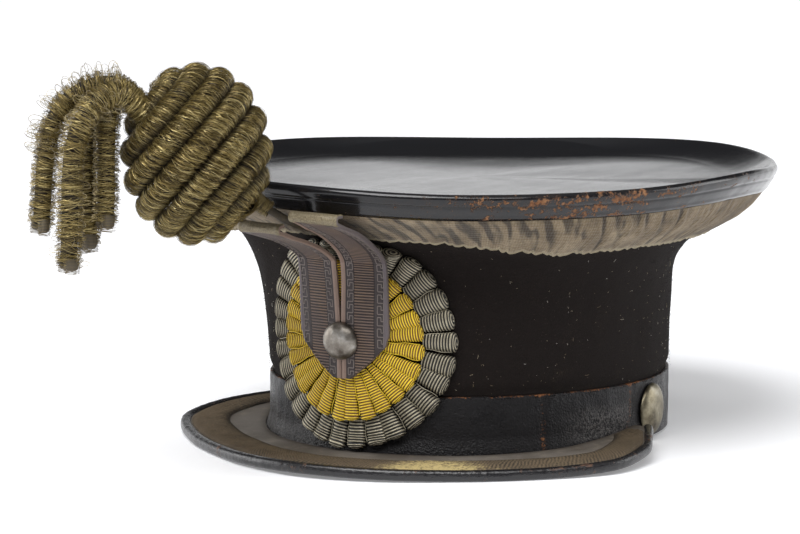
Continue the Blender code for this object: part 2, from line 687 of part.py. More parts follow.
def curve_through(points, count):
    """Even points along a smooth curve through the given ones."""
    points = [Vector(p) for p in points]
    ends = [2 * points[0] - points[1]] + points + [2 * points[-1] - points[-2]]
    fine = []
    for a, b, c, d in zip(ends, ends[1:], ends[2:], ends[3:]):
        for k in range(12):
            t = k / 12
            fine.append(0.5 * (2 * b + (c - a) * t + (2 * a - 5 * b + 4 * c - d) * t ** 2
                               + (3 * b - a - 3 * c + d) * t ** 3))
    fine.append(points[-1])
    lengths = np.concatenate(([0.0], np.cumsum([(q - p).length for p, q in zip(fine, fine[1:])])))
    wanted = np.linspace(0.0, lengths[-1], count)
    columns = [np.interp(wanted, lengths, [p[i] for p in fine]) for i in range(3)]
    return [Vector(p) for p in zip(*columns)], lengths[-1]


def tube(name, path, radius_at, sides, first=None):
    """A closed tube along a path, its radius from a function of the share of its length."""
    sections = []
    across = None
    for k, point in enumerate(path):
        along = (path[min(k + 1, len(path) - 1)] - path[max(k - 1, 0)]).normalized()
        if k == 0 and first is not None:
            along = first
        if across is None:
            across = along.orthogonal().normalized()
        across = (across - along * across.dot(along)).normalized()
        other = along.cross(across)
        radius = radius_at(k / (len(path) - 1))
        sections.append([point + radius * (across * math.cos(a) + other * math.sin(a))
                         for a in [2 * math.pi * j / sides for j in range(sides)]])
    return skinned(name, sections, False)


def strand_path(strand):
    """Points of one fringe strand, from inside the front pole's knot to its hanging end."""
    centre, _, _ = pompom_frame()
    bearing = Vector((POMPOM_AXIS.x, POMPOM_AXIS.y, 0.0)).normalized()
    aside = Vector((-bearing.y, bearing.x, 0.0))
    lean = 0.3 * FRINGE_RADIUS * (bearing * STRANDS[strand][1][0] + aside * 4 * STRANDS[strand][1][1])
    start = pole_point(1) + pole_normal(1) * (GAP + FRINGE_RADIUS) + lean
    points = [start]
    for out, side, up in STRANDS[strand]:
        points.append(centre + POMPOM_HALF_WIDTH * (bearing * out + aside * side + Vector((0, 0, up))))
    return points


def pompom_fringe(hat):
    """Hanging strands fused to a small knot that lies against the front pole."""
    start = pole_point(1) + pole_normal(1) * GAP
    knot_path = [start + pole_normal(1) * (1.7 * FRINGE_RADIUS * k / 3) for k in range(4)]
    knot_shape = (1.1, 1.25, 1.1, 0.5)
    mesh = tube("pompom_fringe", knot_path, lambda t: FRINGE_RADIUS * knot_shape[round(3 * t)], 10)
    fringe = add_piece("pompom_fringe", mesh, hat)
    for strand in STRANDS:
        path, length = curve_through(strand_path(strand), 17)
        ripples = length / FRINGE_PITCH

        def radius_at(t, ripples=ripples):
            ripple = FRINGE_RIPPLE * math.sin(2 * math.pi * ripples * t)
            return (FRINGE_RADIUS + ripple) * (0.55 if t in (0.0, 1.0) else 1.0)

        lock = bpy.data.objects.new("lock_" + strand, tube("lock_" + strand, path, radius_at, 8))
        bpy.context.collection.objects.link(lock)
        lock.parent = hat
        lock.hide_render = True
        lock.display_type = "WIRE"
        union = fringe.modifiers.new("fuse " + strand, "BOOLEAN")
        union.operation = "UNION"
        union.object = lock
    return fringe


def pompom_stem(hat):
    """A bent post from between the loop's ends to the pompom's rear pole."""
    away = pole_normal(-1)
    top = pole_point(-1) + away * GAP
    seat = STEM_RADIUS + 2 * GAP
    foot_climb = float(np.interp(0.83 * CROWN_HEIGHT, CLIMB_HEIGHTS, CLIMB_LENGTHS))
    low = on_front(0.0, foot_climb, seat)
    next_point = on_front(0.0, foot_climb + 0.010, seat + 0.0010)
    under_rim = ring_point(0.0, RIM_OVERHANG + 0.003, CROWN_HEIGHT - RIM_BAND_HEIGHT - 0.0035)
    path, _ = curve_through([low, next_point, under_rim, top + away * 0.006, top], 14)
    path[-1] = top
    mesh = tube("pompom_stem", path, lambda t: STEM_RADIUS, 8)
    return add_piece("pompom_stem", mesh, hat)


def rest_pitch():
    """The backward tilt at which the visor's edge and the back of the base touch one plane."""
    angle = 0.0
    for k in range(89):
        bearing = -VISOR_END + 2 * VISOR_END * k / 88
        width, low, _, _ = visor_line(bearing)
        edge = ring_point(bearing, width, low)
        angle = max(angle, math.atan2(-edge.z, BASE_HALF_LENGTH - edge.y))
    return angle


def settle(hat):
    """Pitch the hat onto its visor, and put the origin under the middle of its whole box."""
    hat.rotation_euler = (-rest_pitch(), 0.0, 0.0)
    bpy.context.view_layer.update()
    depsgraph = bpy.context.evaluated_depsgraph_get()
    corners = []
    for piece in bpy.context.scene.objects:
        if piece.type == "MESH" and not piece.hide_render:
            mesh = piece.evaluated_get(depsgraph).to_mesh()
            corners += [piece.matrix_world @ vertex.co for vertex in mesh.vertices]
    low = [min(c[i] for c in corners) for i in range(3)]
    high = [max(c[i] for c in corners) for i in range(3)]
    hat.location = (-(low[0] + high[0]) / 2, -(low[1] + high[1]) / 2, -low[2])
    bpy.context.view_layer.update()


def build():
    for old in list(bpy.data.objects):
        bpy.data.objects.remove(old, do_unlink=True)
    hat = bpy.data.objects.new("hat", None)
    bpy.context.collection.objects.link(hat)
    felt_body(hat)
    crown_top(hat)
    rim_braid(hat)
    base_band(hat)
    visor_pieces(hat)
    cockade(hat)
    button(hat)
    loop_half("left", 1, hat)
    loop_half("right", -1, hat)
    bosses(hat)
    pompom(hat)
    pompom_fringe(hat)
    pompom_stem(hat)
    settle(hat)


build()
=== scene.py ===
import json
import math

import bpy
import numpy as np
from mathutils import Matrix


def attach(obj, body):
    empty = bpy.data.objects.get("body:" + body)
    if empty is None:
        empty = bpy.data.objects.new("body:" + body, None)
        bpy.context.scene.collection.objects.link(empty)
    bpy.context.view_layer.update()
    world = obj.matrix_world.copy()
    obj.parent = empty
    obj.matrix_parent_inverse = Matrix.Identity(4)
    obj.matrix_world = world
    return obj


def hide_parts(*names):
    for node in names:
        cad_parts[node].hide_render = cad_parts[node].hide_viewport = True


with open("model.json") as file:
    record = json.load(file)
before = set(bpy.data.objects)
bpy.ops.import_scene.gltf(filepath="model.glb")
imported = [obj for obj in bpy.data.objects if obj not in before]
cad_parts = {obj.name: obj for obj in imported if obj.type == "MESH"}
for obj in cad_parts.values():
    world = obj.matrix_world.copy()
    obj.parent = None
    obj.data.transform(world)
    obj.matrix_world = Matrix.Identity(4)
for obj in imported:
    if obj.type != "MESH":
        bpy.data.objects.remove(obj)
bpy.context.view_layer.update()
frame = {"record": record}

# The looks of an old bell-topped shako: worn lacquered leather, dusty felt, faded braid,
# a silver and yellow cockade under a key-bordered loop, and a pompom of wire bullion.

chance = np.random.default_rng(1840)

# sizes shared by the pieces, in metres, in the hat's own upright frame

hat = {
    "halfLength": 0.100,
    "halfWidth": 0.086,
    "crownHeight": 0.119,
    "rimOverhang": 0.0473,
    "rimBand": 0.0114,
    "rimWave": 0.0022,
    "dishDepth": 0.0065,
    "crownWall": 0.0020,
    "feltWall": 0.0020,
    "gap": 0.0003,
    "bandHeight": 0.0260,
    "bandWall": 0.0014,
    "footSpread": 0.0016,
    "footHeight": 0.0090,
}

# body flare by height, at the front, side and back, as shares of the felt's reach
flareTable = {
    "height": (0.00, 0.22, 0.38, 0.50, 0.59, 0.64, 0.69, 0.74, 0.78, 0.82, 0.865, 0.904, 0.945, 1.00),
    "front": (0.00, 0.00, 0.01, 0.033, 0.05, 0.06, 0.078, 0.11, 0.19, 0.38, 0.65, 0.86, 0.945, 1.00),
    "side": (0.00, 0.00, 0.03, 0.065, 0.11, 0.155, 0.22, 0.31, 0.47, 0.64, 0.79, 0.88, 0.945, 1.00),
    "back": (0.00, 0.00, 0.00, 0.012, 0.022, 0.05, 0.13, 0.28, 0.47, 0.65, 0.79, 0.88, 0.945, 1.00),
}
# lift of the warped rim, by bearing from the front towards the wearer's left
warpTable = {
    "bearing": (0, 30, 60, 95, 120, 155, 210, 255, 300, 350),
    "lift": (0.4, -0.5, -0.2, 0.9, 0.1, 0.8, -1.0, 0.0, 0.1, 0.6),
}

feltReach = hat["rimOverhang"] - hat["crownWall"] - hat["gap"]

# the record's rest mount gives where the base stands and how far the hat leans back
restMount = frame["record"]["mounts"][0]
leanSin = -restMount["axis"][1]
leanCos = -restMount["axis"][2]
hatAxes = np.array([[1, 0, 0], [0, leanCos, -leanSin], [0, leanSin, leanCos]])
lipMiddle = hat["halfLength"] - 0.5 * (hat["bandWall"] + hat["gap"] + hat["feltWall"])
hatOrigin = np.array(restMount["pos_m"]) - lipMiddle * hatAxes[1]


def toWorld(points):
    return np.asarray(points) @ hatAxes + hatOrigin


def toHat(points):
    return (np.asarray(points) - hatOrigin) @ hatAxes.T


def smoothThrough(xs, ys, x):
    # a smooth curve through the points, with no overshoot between them
    xs = np.asarray(xs, float)
    ys = np.asarray(ys, float)
    step = np.diff(xs)
    slope = np.diff(ys) / step
    product = slope[:-1] * slope[1:]
    total = np.where(product > 0, slope[:-1] + slope[1:], 1.0)
    tangent = np.concatenate(([slope[0]], np.where(product > 0, 2 * product / total, 0.0), [slope[-1]]))
    x = np.asarray(x, float)
    i = np.clip(np.searchsorted(xs, x) - 1, 0, len(xs) - 2)
    t = np.clip((x - xs[i]) / step[i], 0.0, 1.0)
    start = (1 + 2 * t) * (1 - t) ** 2 * ys[i] + t * (1 - t) ** 2 * step[i] * tangent[i]
    return start + t * t * (3 - 2 * t) * ys[i + 1] + t * t * (t - 1) * step[i] * tangent[i + 1]


def ease(x, low, high):
    t = np.clip((np.asarray(x, float) - low) / (high - low), 0.0, 1.0)
    return t * t * (3 - 2 * t)


def turned(bearing):
    return (np.asarray(bearing, float) + 180.0) % 360.0 - 180.0


def flare(bearing, z):
    share = np.asarray(z, float) / hat["crownHeight"]
    front, side, back = [smoothThrough(flareTable["height"], flareTable[k], share)
                         for k in ("front", "side", "back")]
    offFront = ease(abs(turned(bearing)), 22, 55)
    offSide = ease(abs(turned(bearing)), 70, 115)
    return feltReach * (front + (side - front) * offFront + (back - side) * offSide)


def braidBottom(bearing):
    depth = 0.0130 + 0.0050 * ease(abs(turned(bearing)), 22, 55)
    return hat["crownHeight"] - hat["rimBand"] - depth


def foot(bearing, z):
    share = 1.0 - ease(abs(turned(bearing)), 70, 88)
    return hat["footSpread"] * share * (1.0 - ease(z, 0.0, hat["footHeight"]))


def warp(bearing, z):
    xs = np.array((-10,) + warpTable["bearing"] + (360, 390), float)
    ys = np.array(warpTable["lift"][-1:] + warpTable["lift"] + warpTable["lift"][:2], float)
    lift = smoothThrough(xs, ys, np.asarray(bearing, float) % 360.0)
    return hat["rimWave"] * lift * ease(z, 0.6 * hat["crownHeight"], hat["crownHeight"])


def skin(bearing, z):
    # the outer surface that the cockade and loop lie on: band, felt, then braid
    low = braidBottom(bearing)
    slope = (flare(bearing, z + 0.002) - flare(bearing, z - 0.002)) / 0.004
    braid = 0.0012 * np.hypot(1.0, slope) * ease(z, low - 0.0024, low)
    return np.maximum(flare(bearing, z) + braid, foot(bearing, z))


def ringPoints(bearing, out, z):
    # points beyond the base ellipse by out, square to it, in world coordinates
    bearing, out, z = np.broadcast_arrays(np.asarray(bearing, float), out, z)
    t = np.radians(bearing)
    nx = np.sin(t) / hat["halfWidth"]
    ny = -np.cos(t) / hat["halfLength"]
    size = np.hypot(nx, ny)
    x = hat["halfWidth"] * np.sin(t) + nx / size * out
    y = -hat["halfLength"] * np.cos(t) + ny / size * out
    return toWorld(np.stack([x, y, z + warp(bearing, z)], -1))


arcBearings = np.linspace(-180.0, 180.0, 1441)
arcX = hat["halfWidth"] * np.sin(np.radians(arcBearings))
arcY = -hat["halfLength"] * np.cos(np.radians(arcBearings))
arcLengths = np.concatenate(([0.0], np.cumsum(np.hypot(np.diff(arcX), np.diff(arcY)))))
arcLengths = arcLengths - arcLengths[720]
frontRadius = hat["halfWidth"] ** 2 / hat["halfLength"]

cockadeCentre = 0.0503
climbHeights = np.linspace(0.0, hat["crownHeight"], 801)
climbOut = skin(0.0, climbHeights)
climbLengths = np.concatenate(([0.0], np.cumsum(np.hypot(np.diff(climbHeights), np.diff(climbOut)))))
climbLengths = climbLengths - np.interp(cockadeCentre, climbHeights, climbLengths)


def onFront(side, climb, rise):
    # a place on the front: side to the wearer's left and climb from the cockade's centre
    z = np.interp(climb, climbLengths, climbHeights)
    slope = (skin(0.0, z + 0.002) - skin(0.0, z - 0.002)) / 0.004
    size = np.hypot(1.0, slope)
    out = rise / size
    drop = -rise * slope / size
    reach = skin(0.0, z) + out
    bearing = np.interp(side / (1 + reach / frontRadius), arcLengths, arcBearings)
    return ringPoints(bearing, skin(bearing, z) + out, z + drop)


def onBand(bearing, side, z, rise):
    start = np.interp(bearing, arcBearings, arcLengths)
    return ringPoints(np.interp(start + side, arcLengths, arcBearings), rise, z)


def wander(x, y, seed, octaves=3):
    # smooth noise from -1 to 1 over two coordinates given in waves
    pick = np.random.default_rng(seed)
    total = np.zeros(np.broadcast(x, y).shape)
    for octave in range(octaves):
        for _ in range(5):
            angle = pick.uniform(0, 2 * math.pi)
            phase = pick.uniform(0, 2 * math.pi)
            turn = 2 * math.pi * 1.9 ** octave * pick.uniform(0.7, 1.3)
            total += np.sin(turn * (x * math.cos(angle) + y * math.sin(angle)) + phase) / 1.7 ** octave
    return total / (2.2 * octaves)


def unit(vectors):
    return vectors / np.maximum(np.linalg.norm(vectors, axis=-1, keepdims=True), 1e-12)


# meshes

def gridFaces(rows, columns, close=False):
    r, c = np.meshgrid(np.arange(rows - 1), np.arange(columns if close else columns - 1), indexing="ij")
    after = (c + 1) % columns
    return np.stack([r * columns + c, r * columns + after, (r + 1) * columns + after,
                     (r + 1) * columns + c], -1).reshape(-1, 4)


class Pile:
    # gathers grids and wires, then makes one piece of them
    def __init__(self):
        self.points = []
        self.faces = []
        self.numbers = []
        self.count = 0

    def add(self, points, faces, **numbers):
        points = np.asarray(points, float).reshape(-1, 3)
        self.faces.append(np.asarray(faces) + self.count)
        self.points.append(points)
        self.numbers.append({k: np.broadcast_to(v, len(points)) if np.ndim(v) == 0 else np.ravel(v)
                             for k, v in numbers.items()})
        self.count += len(points)

    def addGrid(self, points, close=False, flip=False, **numbers):
        faces = gridFaces(points.shape[0], points.shape[1], close)
        self.add(points, faces[:, ::-1] if flip else faces, **numbers)

    def addWires(self, lines, outward, width, **numbers):
        # flat wires with a raised middle; lines and outward are (wires, points, 3)
        along = unit(np.gradient(lines, axis=1))
        side = unit(np.cross(along, outward))
        wide = np.broadcast_to(np.asarray(width, float), lines.shape[:2])[..., None]
        rows = np.stack([lines - side * wide, lines + outward * wide, lines + side * wide], 2)
        wires, steps = lines.shape[:2]
        one = gridFaces(steps, 3)
        faces = (one[None] + (np.arange(wires) * steps * 3)[:, None, None]).reshape(-1, 4)
        spread = {k: np.repeat(np.ravel(v), steps * 3) if np.size(v) == wires else v
                  for k, v in numbers.items()}
        self.add(rows, faces, **spread)

    def addRibbons(self, lines, outward, width, **numbers):
        # wires as thin as one strip each; a number is given per wire or per point of every wire
        along = unit(np.gradient(lines, axis=1))
        side = unit(np.cross(along, outward)) * width
        rows = np.stack([lines - side, lines + side], 2)
        wires, steps = lines.shape[:2]
        one = gridFaces(steps, 2)
        faces = (one[None] + (np.arange(wires) * steps * 2)[:, None, None]).reshape(-1, 4)
        repeats = {wires: steps * 2, wires * steps: 2}
        spread = {k: np.repeat(np.ravel(v), repeats[np.size(v)]) if np.size(v) in repeats else v
                  for k, v in numbers.items()}
        self.add(rows, faces, **spread)

    def addTube(self, line, radius, sides=6, **numbers):
        line = np.asarray(line, float)
        along = unit(np.gradient(line, axis=0))
        across = np.cross(along[0], [0.3, 0.5, 0.81])
        rings = []
        for k, point in enumerate(line):
            across = unit(across - along[k] * (across @ along[k]))
            other = np.cross(along[k], across)
            angles = 2 * np.pi * np.arange(sides) / sides
            size = radius[k] if np.ndim(radius) else radius
            rings.append(point + size * (np.cos(angles)[:, None] * across + np.sin(angles)[:, None] * other))
        rings = [np.repeat(line[:1], sides, 0)] + rings + [np.repeat(line[-1:], sides, 0)]
        self.addGrid(np.array(rings), close=True, **numbers)

    def piece(self, name, finish, replaces=()):
        mesh = bpy.data.meshes.new(name)
        points = np.concatenate(self.points).astype(np.float32)
        faces = np.concatenate(self.faces).astype(np.int32)
        mesh.vertices.add(len(points))
        mesh.vertices.foreach_set("co", points.ravel())
        mesh.loops.add(faces.size)
        mesh.loops.foreach_set("vertex_index", faces.ravel())
        mesh.polygons.add(len(faces))
        mesh.polygons.foreach_set("loop_start", np.arange(len(faces), dtype=np.int32) * 4)
        mesh.update(calc_edges=True)
        for key in sorted({k for numbers in self.numbers for k in numbers}):
            values = [n.get(key, np.zeros(len(p))) for n, p in zip(self.numbers, self.points)]
            attribute = mesh.attributes.new(key, "FLOAT", "POINT")
            attribute.data.foreach_set("value", np.concatenate(values).astype(np.float32))
        mesh.shade_smooth()
        mesh.materials.append(finish)
        made = bpy.data.objects.new(name, mesh)
        bpy.context.scene.collection.objects.link(made)
        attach(made, "root")
        if replaces:
            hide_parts(*([replaces] if isinstance(replaces, str) else replaces))
        return made


# materials

class Wire:
    # a socket whose sums add Math nodes
    def __init__(self, finish, socket):
        self.finish = finish
        self.socket = socket

    def math(self, operation, *values):
        return self.finish.node("Math", {"operation": operation}, dict(enumerate(values)))

    def __add__(self, other):
        return self.math("ADD", self, other)

    def __radd__(self, other):
        return self.math("ADD", other, self)

    def __sub__(self, other):
        return self.math("SUBTRACT", self, other)

    def __rsub__(self, other):
        return self.math("SUBTRACT", other, self)

    def __mul__(self, other):
        return self.math("MULTIPLY", self, other)

    def __rmul__(self, other):
        return self.math("MULTIPLY", other, self)

    def between(self, low, high):
        # 0 below low and 1 above high, smooth between
        return self.finish.node("MapRange", {"interpolation_type": "SMOOTHSTEP"},
                                {"Value": self, "From Min": low, "From Max": high})

    def atMost(self, other):
        return self.math("MINIMUM", self, other)


class Finish:
    # a material on one Principled shader, or a world; constants are set on its own sockets
    def __init__(self, name, **constants):
        self.material = bpy.data.materials.new(name) if isinstance(name, str) else name
        self.material.use_nodes = True
        self.tree = self.material.node_tree
        self.shader = self.tree.nodes["Principled BSDF" if isinstance(name, str) else "Background"]
        for socket, value in constants.items():
            self.shader.inputs[socket.replace("_", " ")].default_value = value

    def feed(self, socket, value):
        if isinstance(value, Wire):
            self.tree.links.new(value.socket, socket)
        elif isinstance(value, tuple) and len(value) == 3 and socket.type == "RGBA":
            socket.default_value = (*value, 1.0)
        else:
            socket.default_value = value

    def node(self, kind, settings=None, sockets=None, output=0):
        made = self.tree.nodes.new("ShaderNode" + kind)
        for key, value in (settings or {}).items():
            if key == "stops":
                ramp = made.color_ramp
                while len(ramp.elements) < len(value):
                    ramp.elements.new(0.5)
                for element, (place, colour) in zip(ramp.elements, value):
                    element.position = place
                    element.color = (*colour, 1.0)
            else:
                setattr(made, key, value)
        for key, value in (sockets or {}).items():
            self.feed(made.inputs[key], value)
        return Wire(self, made.outputs[output])

    def number(self, name):
        return self.node("Attribute", {"attribute_name": name}, output=2)

    def place(self, scale=(1, 1, 1)):
        where = self.node("TexCoord", output=3)
        return self.node("Mapping", None, {"Vector": where, "Scale": scale})

    def noise(self, scale, detail=3.0, roughness=0.55, stretch=(1, 1, 1)):
        return self.node("TexNoise", None, {"Vector": self.place(stretch), "Scale": scale,
                                            "Detail": detail, "Roughness": roughness})

    def specks(self, scale, output=0, stretch=(1, 1, 1)):
        return self.node("TexVoronoi", None, {"Vector": self.place(stretch), "Scale": scale}, output=output)

    def mix(self, share, first, second, blend="MIX"):
        return self.node("Mix", {"data_type": "RGBA", "blend_type": blend},
                         {0: share, 6: first, 7: second}, output=2)

    def ramp(self, value, *stops):
        return self.node("ValToRGB", {"stops": stops}, {"Fac": value})

    def relief(self, height, depth, under=None):
        sockets = {"Height": height, "Distance": depth}
        if under is not None:
            sockets["Normal"] = under
        return self.node("Bump", None, sockets)

    def set(self, **links):
        for socket, value in links.items():
            self.feed(self.shader.inputs[socket.replace("_", " ")], value)
        return self.material


# felt body

felt = {
    "dust": (0.085, 0.062, 0.036),      # yellowish dust, thickest low down
    "hairs": 2200,                       # short nap that softens the outline
    "flecks": 620,                       # pale lint lying on the felt
}


def feltFinish():
    finish = Finish("blackFelt", Roughness=0.96, Specular_IOR_Level=0.18)
    cloud = finish.noise(46, 5, 0.65)
    fibre = finish.noise(1500, 4, 0.7)
    streak = finish.noise(420, 4, 0.7, (1, 1, 3))
    low = finish.number("low")
    dust = cloud.between(0.52, 0.74) * fibre.between(0.48, 0.72) * (0.10 + 0.75 * low)
    worn = streak.between(0.55, 0.8) * 0.35
    colour = finish.mix(fibre, (0.0050, 0.0038, 0.0036), (0.0200, 0.0150, 0.0132))
    colour = finish.mix(worn, colour, (0.034, 0.026, 0.022))
    speck = (1 - finish.specks(520).between(0.05, 0.13)) * finish.noise(120, 3).between(0.50, 0.62)
    colour = finish.mix(speck * (0.35 + 0.5 * low), colour, (0.150, 0.120, 0.085))
    colour = finish.mix(dust, colour, felt["dust"])
    relief = finish.relief(fibre * 0.7 + streak * 0.6, 0.0006)
    relief = finish.relief(cloud, 0.0012, relief)
    return finish.set(Base_Color=colour, Normal=relief)


def feltHairs(pile):
    count = felt["hairs"]
    bearing = chance.uniform(-180, 180, count)
    z = chance.uniform(hat["bandHeight"] + 0.001, 0.098, count)
    start = ringPoints(bearing, flare(bearing, z), z)
    outward = unit(ringPoints(bearing, flare(bearing, z) + 0.001, z) - start)
    lean = unit(chance.normal(size=(count, 3)))
    length = chance.uniform(0.0006, 0.0014, count)[:, None, None]
    t = np.linspace(0, 1, 3)[None, :, None]
    lines = start[:, None] + length * (outward[:, None] * t * (1 - 0.3 * t) + lean[:, None] * t * t * 0.8)
    face = unit(np.cross(outward, lean))
    face = np.repeat(face[:, None], 3, 1)
    pile.addWires(lines, face, 0.00005, low=0.15, tone=0.2)


def feltFlecks():
    # pale threads and crumbs of lint, more of them towards the foot
    pile = Pile()
    count = felt["flecks"]
    bearing = chance.uniform(-180, 180, count)
    share = chance.beta(1.0, 1.5, count)
    z = hat["bandHeight"] + 0.001 + 0.066 * share
    base = ringPoints(bearing, flare(bearing, z) + 0.0002, z)
    outward = unit(ringPoints(bearing, flare(bearing, z) + 0.002, z) - base)
    across = unit(np.cross(outward, [0, 0, 1]))
    upward = np.cross(across, outward)
    angle = chance.uniform(0, math.pi, count)
    way = across * np.cos(angle)[:, None] + upward * np.sin(angle)[:, None]
    bow = np.cross(outward, way)
    length = chance.gamma(1.4, 0.00036, count) + 0.00025
    t = np.linspace(-0.5, 0.5, 5)[None, :, None]
    curl = chance.uniform(-0.7, 0.7, count)[:, None, None]
    lines = base[:, None] + length[:, None, None] * (way[:, None] * t + bow[:, None] * curl * (0.25 - t * t))
    lines += outward[:, None] * 0.0002 * (0.25 - t * t) * 4
    pile.addWires(lines, np.repeat(outward[:, None], 5, 1), 0.00007, tone=chance.uniform(0, 1, count))
    finish = Finish("paleLint", Roughness=0.9)
    tone = finish.number("tone")
    colour = finish.ramp(tone, (0.0, (0.16, 0.12, 0.07)), (0.6, (0.36, 0.30, 0.20)),
                         (1.0, (0.62, 0.60, 0.56)))
    return pile.piece("feltLint", finish.set(Base_Color=colour))


def feltBody():
    pile = Pile()
    bearing = np.linspace(180, 540, 241)[:, None]
    top = hat["crownHeight"] - hat["crownWall"] - 0.75 * hat["dishDepth"]
    bottom = hat["bandWall"] + hat["gap"]
    z = np.concatenate((np.linspace(bottom, hat["bandHeight"], 6),
                        np.linspace(hat["bandHeight"] + 0.001, top, 74)))[None]
    tuck = (hat["bandWall"] + hat["gap"]) * (1 - ease(z, hat["bandHeight"] + 0.0003,
                                                      hat["bandHeight"] + 0.006))
    around = np.radians(bearing)
    dent = 0.00035 * wander(3 * np.sin(around) + 3 * np.cos(around), z / 0.045, 4)
    dent = dent * ease(z, hat["bandHeight"] + 0.002, 0.045) * (1 - ease(z, 0.080, 0.088))
    out = flare(bearing, z) - tuck + dent
    low = 1 - ease(z, hat["bandHeight"], 0.075)
    pile.addGrid(ringPoints(bearing, out, z), low=np.broadcast_to(low, out.shape))
    inside = out - hat["feltWall"] * (1 + 0.8 * ease(z, 0.085, 0.1))
    pile.addGrid(ringPoints(bearing, inside, z), flip=True, low=0.0)
    lip = np.stack([inside[:, 0], out[:, 0]], 1)
    pile.addGrid(ringPoints(bearing, lip, bottom), low=0.0)
    lip = np.stack([out[:, -1], inside[:, -1]], 1)
    pile.addGrid(ringPoints(bearing, lip, top), low=0.0)
    feltHairs(pile)
    pile.piece("feltBody", feltFinish(), "felt_body")
    feltFlecks()
    print("felt body made")


# crown top

crown = {
    "lacquer": (0.0060, 0.0058, 0.0066),
    "leather": (0.175, 0.068, 0.024),   # orange-brown leather where the lacquer has gone
    "roll": 0.0022,
    "dishSlope": 0.0230,
}


def lacquerFinish():
    finish = Finish("wornLacquer", IOR=1.5, Coat_Roughness=0.12, Specular_IOR_Level=0.3)
    broad = finish.noise(15, 3, 0.5)
    grain = finish.noise(700, 3, 0.6)
    crack = finish.noise(150, 6, 0.75, (1, 1, 1.6))
    fine = finish.noise(520, 5, 0.7)
    scuff = finish.noise(90, 4, 0.7, (1, 0.16, 1))
    worn = finish.number("worn")
    gone = (crack * 0.62 + fine * 0.38 + worn * 0.22).between(0.680, 0.735)
    rubbed = (crack + worn * 0.2).between(0.55, 0.75) * 0.4
    speck = 1 - finish.specks(170).between(0.02, 0.05)
    speck = speck * finish.noise(60, 2).between(0.6, 0.7)
    colour = finish.mix(broad, crown["lacquer"], (0.0110, 0.0115, 0.0140))
    colour = finish.mix(rubbed * worn, colour, (0.060, 0.034, 0.020))
    tan = finish.ramp(fine, (0.30, (0.045, 0.018, 0.009)), (0.5, crown["leather"]),
                      (0.75, (0.36, 0.20, 0.10)))
    colour = finish.mix(gone, colour, tan)
    colour = finish.mix(speck, colour, (0.50, 0.50, 0.50))
    roughness = (0.10 + 0.14 * scuff + 0.08 * broad) + gone * 0.45
    relief = finish.relief(grain, 0.00008)
    relief = finish.relief(broad + scuff * 0.05, 0.0010, relief)
    relief = finish.relief(1 - gone, 0.0003, relief)
    return finish.set(Base_Color=colour, Roughness=roughness, Coat_Weight=0.35 - 0.35 * gone, Normal=relief)


